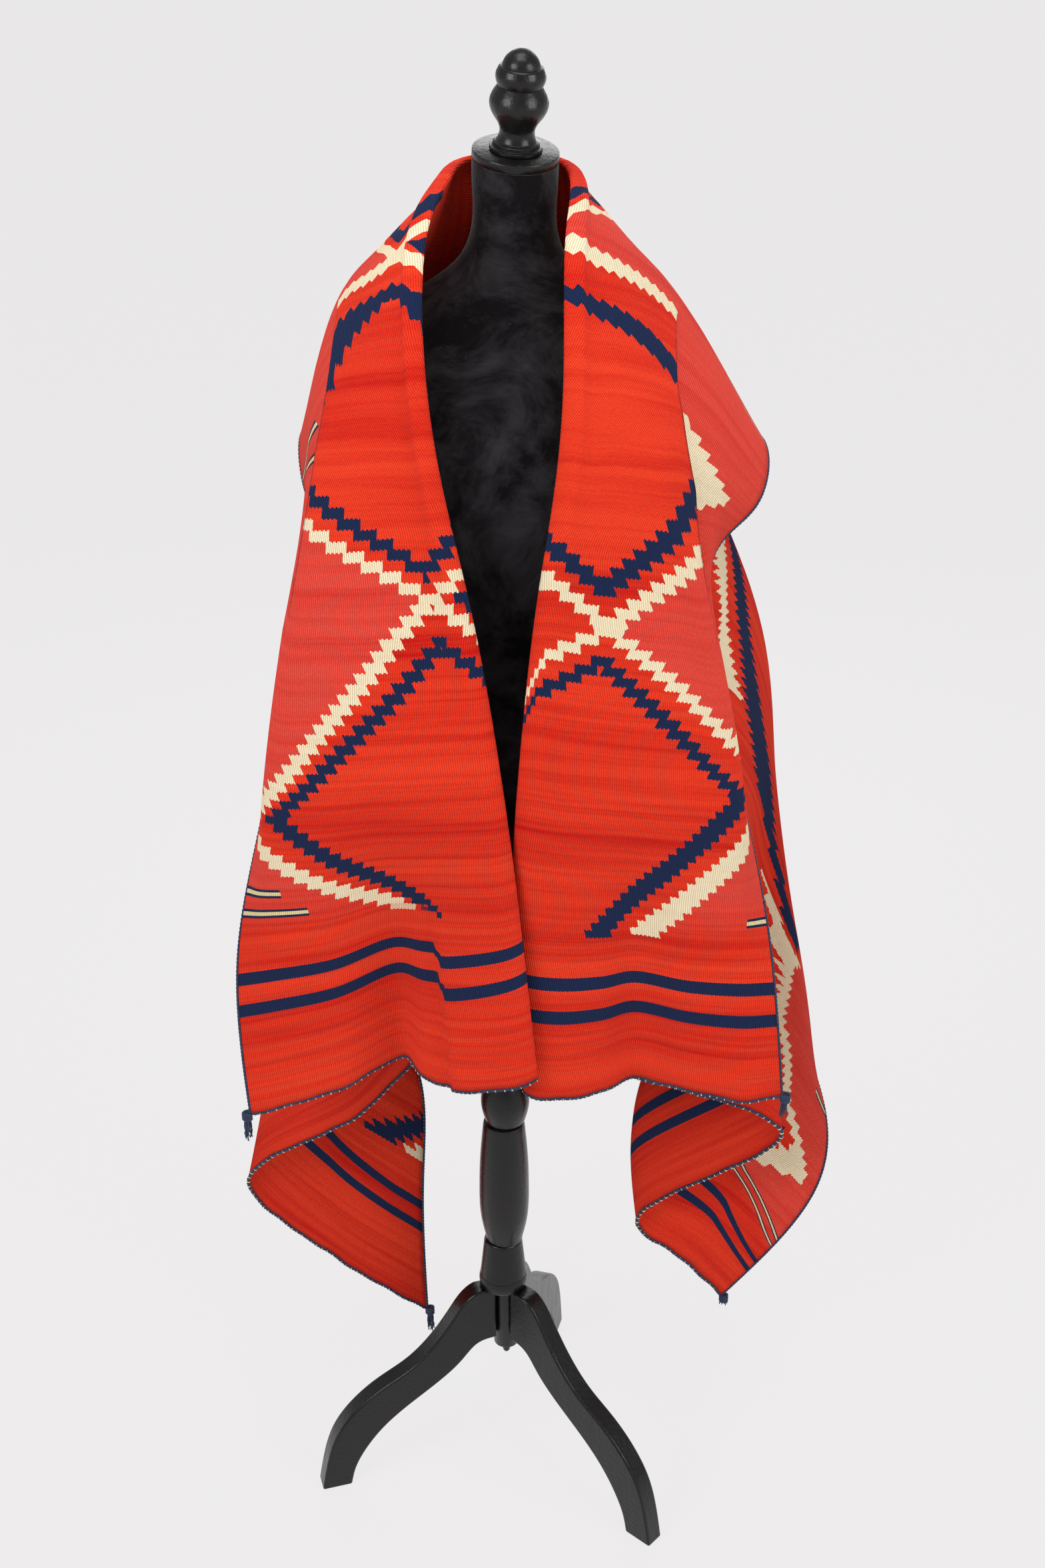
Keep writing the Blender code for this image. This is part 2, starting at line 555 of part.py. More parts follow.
def build_post(wood):
    """The turned post, from the rod inside the form down to the column that holds the legs."""

    def upright(height):
        return Matrix.Translation(Vector((lean_at(height), 0.0, 0.0)))

    rod = [(0.0150, 0.6185), (0.0150, 0.640), (0.0125, 0.644), (0.0125, 0.9997)]
    turned("post_rod", rod, upright(0.80), wood, 16)
    ball = [(0.0215, 0.5475)]
    ball += arc_profile((0.0250, 0.5500), (0.0180, 0.6180), 0.0085, 7)
    turned("post_ball", ball, upright(0.58), wood)
    vase = [(0.0225, 0.3612), (0.0236, 0.3650)]
    vase += arc_profile((0.0236, 0.3650), (0.0318, 0.4300), 0.0022, 4)[1:]
    vase += arc_profile((0.0318, 0.4300), (0.0262, 0.5420), 0.0016, 6)[1:]
    vase += [(0.0225, 0.5472)]
    turned("post_vase", vase, upright(0.45), wood)
    collar = [(0.0296, HUB_TOP)]
    collar += arc_profile((0.0304, 0.2885), (0.0304, 0.3035), 0.0012, 4)
    collar += [(0.0296, 0.3050), (0.0300, 0.3062), (0.0246, 0.3580), (0.0232, 0.3609)]
    turned("post_collar", collar, upright(0.32), wood)
    hub = [(0.0035, 0.1690), (0.0048, 0.1720), (0.0048, 0.1865), (0.0155, 0.1868),
           (HUB_RADIUS, 0.1880), (HUB_RADIUS, HUB_TOP - GAP_UNDER_COLLAR)]
    turned("leg_hub", hub, Matrix.Translation(Vector((LEG_MIDDLE, 0.0, 0.0))), wood)


# A leg's side, as (reach, height) in centimetres along its upper and its lower edge
LEG_UPPER = ((1.7, 28.62), (4.2, 28.62), (5.6, 27.7), (7.4, 25.2), (10.2, 21.2), (13.6, 17.9),
             (17.4, 15.6), (20.8, 12.9), (23.6, 9.2), (25.1, 4.8), (26.0, 0.0))
LEG_LOWER = ((1.7, 20.6), (4.0, 20.2), (6.2, 18.0), (9.7, 14.8), (13.6, 12.0), (17.2, 9.0),
             (19.9, 5.6), (21.4, 2.6), (22.0, 0.0))
LEG_STEPS = 20


def leg_edge(points):
    """A smooth edge of a leg through its points, evenly stepped."""
    points = np.array(points) / 100.0
    chords = np.linalg.norm(np.diff(points, axis=0), axis=1)
    knots = np.concatenate([[0.0], np.cumsum(chords)])
    edge = natural_spline(knots, points, np.linspace(0.0, knots[-1], LEG_STEPS + 1))
    edge[:, 1] = np.clip(edge[:, 1], 0.0, HUB_TOP - 2 * GAP_UNDER_COLLAR)
    return edge


def build_legs(wood):
    """Three S-curved boards, each standing on its sawn end."""
    upper, lower = leg_edge(LEG_UPPER), leg_edge(LEG_LOWER)
    inner = HUB_RADIUS + SEAM_GAP
    for leg, degrees in enumerate(LEG_TURNS):
        turn = math.radians(degrees)
        ahead = np.array([math.cos(turn), math.sin(turn), 0.0])
        aside = np.array([-math.sin(turn), math.cos(turn), 0.0])
        middle = np.array([LEG_MIDDLE, 0.0, 0.0])
        points = []
        for side in (-1, 1):
            for edge in (upper, lower):
                for reach, height in edge:
                    reach = max(reach, inner)
                    points.append(middle + ahead * reach + aside * side * LEG_BOARD / 2
                                  + np.array([0.0, 0.0, height]))
        count = LEG_STEPS + 1
        faces = []
        for i in range(LEG_STEPS):
            faces.append((i, i + 1, count + i + 1, count + i))
            faces.append((2 * count + i, 3 * count + i, 3 * count + i + 1, 2 * count + i + 1))
            faces.append((i, 2 * count + i, 2 * count + i + 1, i + 1))
            faces.append((count + i, count + i + 1, 3 * count + i + 1, 3 * count + i))
        faces.append((0, count, 3 * count, 2 * count))
        last = LEG_STEPS
        faces.append((last, 2 * count + last, 3 * count + last, count + last))
        add_object(f"leg_{leg + 1}", points, faces, wood, 50.0)


def set_down():
    """Moves everything so that the origin is at the middle of the whole part's base."""
    objects = list(bpy.data.objects)
    spots = np.array([vert.co for obj in objects for vert in obj.data.vertices])
    middle = (spots.min(axis=0) + spots.max(axis=0)) / 2
    for obj in objects:
        obj.data.transform(Matrix.Translation(Vector((-middle[0], -middle[1], 0.0))))


def main():
    clear_scene()
    cloth = material("handwoven_wool", (0.55, 0.03, 0.015), 0.85)
    dyed = material("indigo_cord", (0.010, 0.016, 0.05), 0.8)
    velvet = material("black_velvet", (0.006, 0.006, 0.007), 0.95)
    wood = material("black_lacquered_wood", (0.008, 0.007, 0.007), 0.35)
    grid, normals = build_web(cloth)
    build_edge_cords(grid, normals, dyed)
    build_tassels(grid, dyed)
    build_torso(velvet)
    build_cap_and_finial(wood)
    build_post(wood)
    build_legs(wood)
    set_down()


main()
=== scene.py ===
"""A woven serape worn as a shawl over a velvet dress form on a turned tripod stand.

Metres, +Z up, -Y towards the viewer. Each piece is made in the stand's own frame, with the
origin on the floor under its column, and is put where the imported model's hub stands.
"""
import math

import bmesh
import bpy
import numpy as np
from mathutils import Matrix, Vector


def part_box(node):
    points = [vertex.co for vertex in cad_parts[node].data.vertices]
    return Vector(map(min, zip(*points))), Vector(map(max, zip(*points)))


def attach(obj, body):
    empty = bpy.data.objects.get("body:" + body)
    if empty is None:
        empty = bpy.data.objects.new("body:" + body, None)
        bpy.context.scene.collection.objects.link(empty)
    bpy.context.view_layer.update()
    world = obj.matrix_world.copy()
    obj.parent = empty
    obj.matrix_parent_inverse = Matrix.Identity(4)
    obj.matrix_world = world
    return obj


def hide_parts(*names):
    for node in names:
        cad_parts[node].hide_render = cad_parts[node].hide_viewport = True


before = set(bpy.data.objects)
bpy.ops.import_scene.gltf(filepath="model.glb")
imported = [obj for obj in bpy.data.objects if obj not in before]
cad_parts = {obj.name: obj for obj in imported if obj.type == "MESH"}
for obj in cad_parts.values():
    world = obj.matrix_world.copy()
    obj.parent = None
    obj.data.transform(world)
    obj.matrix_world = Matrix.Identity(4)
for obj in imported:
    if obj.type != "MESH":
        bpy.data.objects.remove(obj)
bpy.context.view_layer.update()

# The floor and the light. A white studio sweep, seen from 2 m up and in front, under large
# soft lamps: one high at the left, one at the right, one overhead and one behind.
HUB_OFF_COLUMN = 0.003
hub_low, hub_high = (Vector(corner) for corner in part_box("leg_hub"))
STAND = (hub_low + hub_high) / 2 - Vector((HUB_OFF_COLUMN, 0.0, 0.0))
STAND.z = 0.0
PHOTO_HEIGHT = 2353
FOCAL_PIXELS = 3000
SENSOR = 36.0
EYE = Vector((0.0245, -2.05, 2.06))
LOOK_DOWN = math.radians(26.9)

camera = bpy.data.cameras.new("camera")
camera.sensor_fit = "VERTICAL"
camera.sensor_width = camera.sensor_height = SENSOR
camera.lens = FOCAL_PIXELS / PHOTO_HEIGHT * SENSOR
camera_object = bpy.data.objects.new("camera", camera)
camera_object.location = STAND + EYE
camera_object.rotation_euler = (math.pi / 2 - LOOK_DOWN, 0.0, 0.0)
bpy.context.scene.collection.objects.link(camera_object)
bpy.context.scene.camera = camera_object

bpy.context.scene.view_settings.view_transform = "Standard"

FLOOR_HALF = 40.0
FLOOR_GLOW = 0.80
FLOOR_COLOUR = (0.99, 0.972, 0.98, 1.0)
floor_mesh = bpy.data.meshes.new("floor")
floor_mesh.from_pydata([(x * FLOOR_HALF, y * FLOOR_HALF, -0.0005)
                        for x, y in ((-1, -1), (1, -1), (1, 1), (-1, 1))], [], [(0, 1, 2, 3)])
floor = bpy.data.objects.new("floor", floor_mesh)
bpy.context.scene.collection.objects.link(floor)
paper = bpy.data.materials.new("studio_paper")
paper.use_nodes = True
paper_shader = paper.node_tree.nodes["Principled BSDF"]
for name, value in (("Base Color", (0.06, 0.06, 0.06, 1.0)), ("Roughness", 1.0),
                    ("Specular IOR Level", 0.0), ("Emission Color", FLOOR_COLOUR),
                    ("Emission Strength", FLOOR_GLOW)):
    paper_shader.inputs[name].default_value = value
floor_mesh.materials.append(paper)

world = bpy.data.worlds.new("studio")
world.use_nodes = True
world.node_tree.nodes["Background"].inputs["Color"].default_value = (0.95, 0.97, 1.0, 1.0)
world.node_tree.nodes["Background"].inputs["Strength"].default_value = 0.45
bpy.context.scene.world = world

# a row for each lamp: where it hangs, what it points at, its side in metres, and its power
for name, place, target, side, power in (
        ("lamp_left", (-2.4, -2.2, 2.7), (0.0, 0.0, 1.1), 1.6, 62.0),
        ("lamp_right", (2.5, -1.9, 2.3), (0.0, 0.0, 1.0), 1.6, 48.0),
        ("lamp_over", (0.0, -0.6, 3.6), (0.0, 0.0, 1.2), 1.4, 26.0),
        ("lamp_behind", (0.3, 2.6, 2.4), (0.0, 0.0, 1.2), 2.0, 30.0)):
    lamp = bpy.data.lights.new(name, "AREA")
    lamp.size = side
    lamp.energy = power
    lamp_object = bpy.data.objects.new(name, lamp)
    lamp_object.location = STAND + Vector(place)
    ray = Vector(target) - Vector(place)
    lamp_object.rotation_euler = ray.to_track_quat("-Z", "Y").to_euler()
    bpy.context.scene.collection.objects.link(lamp_object)

# The web. One rectangle of wool tapestry: hard-spun warps run along its length and show as
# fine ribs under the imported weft. It hangs over the form, its top quarter turned out as
# a collar. Its two faces are alike, as the wefts turn back where the colours meet.
WALL = 0.0020
COLLAR_COLUMNS = ("free", "bend", "outer", "dip", "step", "near", "fold")

# a rib across the web in each row: how far along the fold from that side's hem in metres,
# then its places in centimetres. The collar's are named above, and the body's run under the
# fold, in front, down the flank, at the side, behind, and along its lower edge
LEFT_COLLAR = (
    (0.00, (-29.4, -12.8, 65.2), (-25.5, -12.4, 66.0), (-18.5, -10.8, 67.6),
     (-11.6, -8.0, 70.0), (-9.0, -13.2, 70.5), (-3.5, -16.9, 71.4), (4.1, -16.9, 73.0)),
    (0.20, (-29.8, -11.4, 85.0), (-26.0, -13.0, 86.5), (-19.0, -13.4, 88.0),
     (-12.2, -12.2, 90.0), (-8.4, -14.6, 91.0), (-3.2, -17.1, 92.0), (2.2, -17.2, 93.0)),
    (0.42, (-25.6, -7.0, 106.0), (-25.6, -12.2, 105.5), (-19.5, -15.0, 106.5),
     (-13.5, -16.0, 107.5), (-8.8, -16.6, 108.0), (-4.0, -17.1, 108.5), (0.4, -16.8, 109.0)),
    (0.64, (-20.5, -4.0, 133.0), (-21.4, -12.4, 129.5), (-17.3, -14.6, 130.0),
     (-13.5, -15.8, 130.5), (-10.0, -16.5, 131.0), (-6.4, -16.9, 131.3), (-3.1, -16.8, 131.5)),
    (0.84, (-21.4, 3.5, 137.5), (-17.6, -8.6, 150.0), (-15.4, -10.6, 151.4),
     (-13.2, -12.2, 152.2), (-11.0, -13.6, 152.8), (-9.0, -14.7, 153.2), (-7.0, -14.9, 153.6)),
    (0.95, (-21.8, 9.0, 141.0), (-17.0, 0.3, 156.4), (-14.9, -1.8, 160.0),
     (-12.6, -4.6, 162.2), (-10.6, -6.8, 164.0), (-8.8, -8.4, 165.4), (-6.8, -9.2, 166.2)),
    (1.04, (-17.4, 14.6, 140.0), (-14.6, 9.6, 151.6), (-12.2, 6.6, 158.6),
     (-9.8, 4.4, 163.2), (-7.8, 2.6, 166.4), (-6.2, 1.2, 168.6), (-4.6, -0.4, 170.2)),
    (1.09, (-9.0, 16.8, 139.0), (-7.8, 13.0, 150.8), (-6.6, 10.4, 158.4),
     (-5.6, 8.4, 163.4), (-4.6, 6.6, 167.2), (-3.6, 5.2, 169.8), (-2.7, 4.2, 171.0)),
)
LEFT_BODY = (
    (0.00, (-4.0, -10.4, 71.2), (-8.7, -5.4, 69.0), (-17.9, -3.6, 58.2),
     (-32.6, 0.8, 45.0), (-21.8, 5.6, 27.6), (-10.8, 8.0, 17.1)),
    (0.20, (-4.6, -12.6, 92.0), (-12.0, -8.6, 89.0), (-20.5, -5.6, 79.0),
     (-28.4, 1.4, 66.0), (-22.6, 6.6, 50.0), (-11.0, 9.4, 38.0)),
    (0.42, (-6.6, -13.6, 107.5), (-14.4, -11.2, 105.5), (-21.6, -5.4, 99.0),
     (-25.6, 2.6, 88.0), (-24.0, 9.0, 71.0), (-12.8, 11.2, 58.0)),
    (0.64, (-7.8, -14.4, 130.5), (-14.0, -12.0, 128.0), (-19.0, -5.0, 121.5),
     (-22.4, 4.4, 107.0), (-26.0, 12.4, 86.0), (-25.6, 16.4, 66.5)),
    (0.84, (-10.6, -11.8, 150.6), (-15.0, -6.4, 147.0), (-17.6, 1.6, 138.0),
     (-18.8, 9.4, 121.0), (-20.6, 15.4, 95.0), (-22.4, 19.2, 70.5)),
    (0.95, (-9.2, -6.2, 162.4), (-13.0, -1.2, 156.8), (-15.8, 4.6, 144.0),
     (-14.2, 11.6, 122.0), (-13.8, 16.2, 95.5), (-14.2, 18.4, 71.2)),
    (1.04, (-6.2, 2.8, 164.6), (-9.0, 5.5, 156.7), (-11.2, 9.6, 143.0),
     (-9.4, 13.4, 121.5), (-8.6, 15.9, 95.5), (-8.6, 17.4, 71.4)),
    (1.09, (-3.2, 5.6, 165.0), (-4.6, 8.4, 156.8), (-5.2, 11.6, 143.0),
     (-4.2, 14.2, 121.5), (-4.0, 16.2, 95.5), (-4.0, 17.5, 71.4)),
)
RIGHT_COLLAR = (
    (0.00, (32.6, -13.2, 68.0), (28.6, -14.2, 68.0), (22.4, -12.6, 68.2),
     (15.6, -10.4, 68.6), (11.8, -13.2, 68.8), (7.2, -15.2, 69.0), (2.6, -14.6, 69.8)),
    (0.20, (30.2, -12.4, 88.0), (26.8, -13.8, 88.6), (20.8, -14.4, 89.2),
     (15.0, -13.6, 89.8), (11.2, -15.0, 90.2), (6.4, -16.0, 90.8), (1.4, -14.9, 91.6)),
    (0.42, (26.0, -8.2, 107.5), (26.2, -12.6, 107.0), (20.2, -15.2, 108.5),
     (15.0, -16.4, 109.5), (11.0, -16.9, 110.2), (6.4, -17.4, 111.0), (2.1, -17.0, 111.6)),
    (0.64, (22.0, -8.6, 131.4), (21.6, -12.4, 129.0), (18.2, -14.6, 130.4),
     (15.0, -15.6, 131.2), (11.8, -16.4, 131.8), (8.0, -16.9, 132.4), (4.2, -16.8, 132.6)),
    (0.84, (27.6, -2.4, 137.4), (18.2, -9.2, 149.4), (16.0, -11.0, 150.8),
     (13.8, -12.6, 151.8), (11.4, -13.9, 152.6), (9.0, -15.0, 153.0), (6.5, -15.0, 153.4)),
    (0.95, (28.8, 6.6, 140.6), (20.2, 1.2, 154.8), (16.6, -1.4, 159.4),
     (13.8, -4.2, 162.0), (11.2, -6.6, 163.8), (8.8, -8.4, 165.2), (6.7, -9.0, 166.0)),
    (1.04, (22.8, 14.8, 140.0), (18.8, 9.6, 151.2), (15.6, 6.6, 158.2),
     (12.8, 4.4, 162.8), (10.6, 2.6, 166.2), (8.8, 1.2, 168.4), (7.2, -0.4, 170.2)),
    (1.09, (12.0, 16.8, 139.0), (10.6, 13.0, 150.8), (9.2, 10.4, 158.4),
     (8.2, 8.4, 163.4), (7.2, 6.6, 167.2), (6.2, 5.2, 169.8), (5.3, 4.2, 171.0)),
)
RIGHT_BODY = (
    (0.00, (8.2, -9.4, 69.6), (16.9, -7.0, 66.0), (34.0, -7.0, 58.4),
     (17.4, 3.0, 36.6), (24.4, 4.4, 28.4), (29.4, 5.2, 22.0)),
    (0.20, (8.0, -11.6, 91.0), (17.0, -9.6, 88.0), (31.4, -3.6, 78.0),
     (18.2, 5.4, 58.0), (32.4, 5.6, 50.0), (40.6, 3.6, 41.5)),
    (0.42, (8.4, -13.8, 108.5), (16.6, -10.8, 107.0), (27.0, -3.8, 100.5),
     (30.5, 4.0, 85.0), (37.4, 4.6, 70.0), (40.0, 8.6, 56.5)),
    (0.64, (8.8, -14.2, 130.5), (15.6, -11.2, 129.5), (24.5, -3.6, 123.5),
     (31.0, 3.6, 107.0), (33.4, 10.6, 87.0), (35.0, 15.0, 66.0)),
    (0.84, (10.8, -11.6, 150.4), (16.2, -5.8, 147.6), (21.6, 1.5, 139.5),
     (26.6, 7.2, 122.5), (27.2, 14.5, 96.0), (26.6, 19.0, 70.5)),
    (0.95, (9.6, -6.0, 162.2), (15.0, -1.0, 156.8), (19.0, 4.8, 144.0),
     (18.4, 11.6, 122.0), (17.4, 16.2, 95.5), (17.0, 18.4, 71.2)),
    (1.04, (8.8, 2.8, 164.4), (12.0, 5.8, 156.8), (14.2, 9.6, 143.0),
     (12.4, 13.4, 121.5), (11.4, 15.9, 95.5), (11.2, 17.4, 71.4)),
    (1.09, (5.8, 5.6, 165.0), (7.2, 8.4, 156.8), (7.8, 11.6, 143.0),
     (6.8, 14.2, 121.5), (6.6, 16.2, 95.5), (6.6, 17.5, 71.4)),
)
NAPE_ALONG = 1.13
NAPE_COLLAR = ((1.3, 17.8, 138.4), (1.3, 14.4, 150.6), (1.3, 11.8, 158.2),
               (1.3, 9.8, 163.4), (1.3, 8.1, 167.4), (1.3, 6.8, 170.0), (1.3, 5.8, 171.2))
NAPE_BODY = ((1.3, 6.8, 165.0), (1.3, 9.2, 156.8), (1.3, 12.0, 143.0), (1.3, 14.4, 121.5),
             (1.3, 16.4, 95.5), (1.3, 17.6, 71.4))
FOLD_ROLL = 0.0070
FOLD_REACH = 0.015
FLUTE_DEPTH = 0.024
FLUTES = 4.0
FLUTES_FROM = 0.6
FLUTE_EASE = 1.5
BACK_SHARE = 0.62
COLLAR_SPANS = (20, 10, 8, 8, 10, 5)
ROLL_SPANS = (4, 4)
BODY_SPANS = (4, 9, 11, 14, 15, 15)
STEPS_FRONT = 108
STEPS_BACK = 66
FRONT_SHARE = 0.84


def natural_spline(knots, values, places):
    """Natural cubic spline through values, a row for each knot, read at places."""
    knots = np.asarray(knots, float)
    values = np.asarray(values, float)
    places = np.asarray(places, float)
    count = len(knots)
    step = np.diff(knots)
    slope = np.diff(values, axis=0) / step[:, None]
    matrix = np.eye(count)
    right = np.zeros_like(values)
    for i in range(1, count - 1):
        matrix[i, i - 1] = step[i - 1]
        matrix[i, i] = 2 * (step[i - 1] + step[i])
        matrix[i, i + 1] = step[i]
        right[i] = 6 * (slope[i] - slope[i - 1])
    bend = np.linalg.solve(matrix, right)
    i = np.clip(np.searchsorted(knots, places, side="right") - 1, 0, count - 2)
    a = ((knots[i + 1] - places) / step[i])[:, None]
    b = 1 - a
    square = (step[i] ** 2 / 6)[:, None]
    curve = (a ** 3 - a) * bend[i] + (b ** 3 - b) * bend[i + 1]
    return a * values[i] + b * values[i + 1] + curve * square


def rib_curve(rib, spans):
    """A curve through a rib's points that doesn't swing past them, with steps in each span."""
    first = 2 * rib[0] - rib[1]
    last = 2 * rib[-1] - rib[-2]
    held = np.concatenate([[first], rib, [last]])
    gaps = np.sqrt(np.linalg.norm(np.diff(held, axis=0), axis=1))
    knots = np.concatenate([[0.0], np.cumsum(gaps)])
    points = [rib[0]]
    for i, steps in enumerate(spans, start=1):
        p0, p1, p2, p3 = held[i - 1:i + 3]
        t0, t1, t2, t3 = knots[i - 1:i + 3]
        for k in range(1, steps + 1):
            t = t1 + (t2 - t1) * k / steps
            a1 = ((t1 - t) * p0 + (t - t0) * p1) / (t1 - t0)
            a2 = ((t2 - t) * p1 + (t - t1) * p2) / (t2 - t1)
            a3 = ((t3 - t) * p2 + (t - t2) * p3) / (t3 - t2)
            b1 = ((t2 - t) * a1 + (t - t0) * a2) / (t2 - t0)
            b2 = ((t3 - t) * a2 + (t - t1) * a3) / (t3 - t1)
            points.append(((t2 - t) * b1 + (t - t1) * b2) / (t2 - t1))
    return np.array(points)


def web_rows():
    """The ribs from the left hem to the right one: distances along, and points in metres."""
    along = []
    ribs = []
    for collar, body in zip(LEFT_COLLAR, LEFT_BODY):
        along.append(collar[0])
        ribs.append(collar[1:] + body[1:])
    along.append(NAPE_ALONG)
    ribs.append(NAPE_COLLAR + NAPE_BODY)
    for collar, body in zip(reversed(RIGHT_COLLAR), reversed(RIGHT_BODY)):
        along.append(2 * NAPE_ALONG - collar[0])
        ribs.append(collar[1:] + body[1:])
    return np.array(along), np.array(ribs, float) / 100.0


def with_rolled_fold(rib):
    """A rib whose fold is opened into a hairpin, so that the web turns back on a roll."""
    fold = COLLAR_COLUMNS.index("fold")
    tip = rib[fold]
    outward = tip - rib[fold - 1]
    outward /= np.linalg.norm(outward)
    across = rib[fold - 1] - rib[fold + 1]
    across -= outward * np.dot(across, outward)
    across /= np.linalg.norm(across)
    outer = tip - outward * FOLD_REACH + across * FOLD_ROLL
    inner = tip - outward * FOLD_REACH - across * FOLD_ROLL
    return np.concatenate([rib[:fold], [outer, tip, inner], rib[fold + 1:]])


def surface_normals(grid):
    """Unit normals of a grid of points, towards the web's outer face."""
    along = np.gradient(grid, axis=0)
    across = np.gradient(grid, axis=1)
    normal = np.cross(along, across)
    return normal / np.maximum(np.linalg.norm(normal, axis=2, keepdims=True), 1e-9)


def run_along(points):
    """How far each point of a line is from its first."""
    steps = np.linalg.norm(np.diff(points, axis=0), axis=1)
    return np.concatenate([[0.0], np.cumsum(steps)])


def run_across(grid):
    """How far each point of a grid is from the first in its row."""
    steps = np.linalg.norm(np.diff(grid, axis=1), axis=2)
    return np.concatenate([np.zeros((len(grid), 1)), np.cumsum(steps, axis=1)], axis=1)


def ramp(values, start, width):
    """From 0 at start to 1 a width further on."""
    return np.clip((values - start) / width, 0.0, 1.0)


def with_flutes(grid, places):
    """The lower back moved in and out in soft flutes that fade towards its fronts and top."""
    columns = grid.shape[1]
    down = np.linspace(0.0, 1.0, columns)[None, :, None]
    low = ramp(down, FLUTES_FROM, 1.0 - FLUTES_FROM) ** FLUTE_EASE
    turn = (places - NAPE_ALONG) / (NAPE_ALONG * BACK_SHARE)
    near_back = np.clip(1.0 - turn ** 2, 0.0, 1.0)[:, None, None]
    wave = np.cos(math.pi * FLUTES * turn)[:, None, None]
    away = np.array([0.0, 1.0, 0.0])
    return grid + away * wave * low * near_back * FLUTE_DEPTH


# where the lapel's outer edge is over each shoulder: (distance from the hem, columns of the
# first two spans, how deep the tuck under it is), the collar's free side lying behind it
LEFT_EDGE = ((0.00, 20.0, 0.0), (0.60, 20.0, 0.0), (0.68, 20.0, 0.8), (0.79, 20.0, 1.0),
             (0.857, 22.8, 1.0), (0.90, 24.2, 0.6), (0.95, 25.0, 0.0), (1.13, 25.0, 0.0))
RIGHT_EDGE = ((0.00, 20.0, 0.0), (0.58, 20.0, 0.0), (0.66, 17.5, 0.8), (0.715, 16.3, 1.0),
              (0.76, 15.5, 1.0), (0.832, 19.0, 1.0), (0.856, 21.4, 1.0), (0.92, 24.2, 0.6),
              (0.96, 24.8, 0.0), (1.13, 25.0, 0.0))
# the tuck, in columns from that edge: (how far under the lapel, how far behind it), metres
TUCK = ((0.0, 0.0), (0.014, 0.004), (0.012, 0.008), (0.004, 0.010), (0.0, 0.009),
        (0.0, 0.0075), (0.0, 0.006), (0.0, 0.0045), (0.0, 0.003), (0.0, 0.0018), (0.0, 0.0008))


SCALLOP = 0.052
SCALLOP_DEPTH = 0.0009
# the pleat in the left lapel: how far from the fold, how sharp and wide, how high it stands
PLEAT_OFF_FOLD = 0.105
PLEAT_EDGE = 0.004
PLEAT_SPREAD = 0.030
PLEAT_HEIGHTS = ((0.0, 0.0060), (0.12, 0.0050), (0.27, 0.0))
PLEAT_DROP = ((0.0, 0.018), (0.20, 0.016), (0.30, 0.0))


def nearer_hem(places):
    """How far each place is from the hem on its side of the nape, and that side's sign."""
    return np.minimum(places, 2 * NAPE_ALONG - places), np.where(places > NAPE_ALONG, 1, -1)


def with_lapel_edge(grid, places):
    """The web with a crisp lapel edge over each shoulder, and the collar tucked behind it."""
    first, second = COLLAR_SPANS[:2]
    reach, side = nearer_hem(places)
    columns = np.arange(grid.shape[1], dtype=float)
    edged = grid.copy()
    depths = []
    for i, place in enumerate(reach):
        table = np.array(RIGHT_EDGE if side[i] > 0 else LEFT_EDGE)
        edge_column = np.interp(place, table[:, 0], table[:, 1])
        depths.append(np.interp(place, table[:, 0], table[:, 2]))
        spread = np.concatenate([np.linspace(0, edge_column, first + 1),
                                 np.linspace(edge_column, first + second, second + 1)[1:]])
        for k in range(3):
            edged[i, :first + second + 1, k] = np.interp(spread, columns, grid[i, :, k])
    outward = surface_normals(edged)
    tucked = edged.copy()
    for step, (under, behind) in enumerate(TUCK):
        column = first - step
        inward = edged[:, first + 1] - edged[:, first]
        inward /= np.linalg.norm(inward, axis=1, keepdims=True)
        away = outward[:, first + 2]
        depth = np.array(depths)[:, None]
        tucked[:, column] += depth * (inward * under + away * behind)
    return tucked


def with_pleat(grid, places):
    """The web with the crisp pleat that runs up from the left hem beside the fold."""
    fold = sum(COLLAR_SPANS) + ROLL_SPANS[0]
    run = run_across(grid)
    off = run[:, fold:fold + 1] - run - PLEAT_OFF_FOLD
    height = np.interp(places, *np.array(PLEAT_HEIGHTS).T)[:, None]
    bump = np.tanh(off / PLEAT_EDGE) * np.exp(-np.abs(off) / PLEAT_SPREAD) * height
    return grid + surface_normals(grid) * bump[:, :, None]


def with_scalloped_hems(grid):
    """The web with both ends drawn in a little, unevenly, between one stitch and the next."""
    waved = grid.copy()
    for edge, inner, turn in ((0, 1, 0.0), (-1, -2, 2.0)):
        way = grid[edge] - grid[inner]
        way /= np.linalg.norm(way, axis=1, keepdims=True)
        run = run_along(grid[edge])
        wave = (np.sin(run * 2 * math.pi / SCALLOP + turn)
                + 0.7 * np.sin(run * 2 * math.pi / (SCALLOP * 1.7) + turn * 2)) * SCALLOP_DEPTH
        waved[edge] += way * wave[:, None]
    return waved


def web_surface():
    """The web's middle surface, and how far along and across the flat web each point is."""
    front = np.linspace(0.0, FRONT_SHARE, STEPS_FRONT + 1)
    back = np.linspace(FRONT_SHARE, 2 * NAPE_ALONG - FRONT_SHARE, STEPS_BACK + 1)
    places = np.concatenate([front, back[1:], (2 * NAPE_ALONG - front)[::-1][1:]])
    along, ribs = web_rows()
    columns = [natural_spline(along, ribs[:, i], places) for i in range(ribs.shape[1])]
    spans = COLLAR_SPANS + ROLL_SPANS + BODY_SPANS
    rows = [rib_curve(with_rolled_fold(np.array([column[i] for column in columns])), spans)
            for i in range(len(places))]
    web = with_pleat(with_flutes(np.array(rows), places), places)
    return with_scalloped_hems(with_lapel_edge(web, places)), places


WEB_LENGTH = 2 * NAPE_ALONG
WEB_WIDTH = 1.34
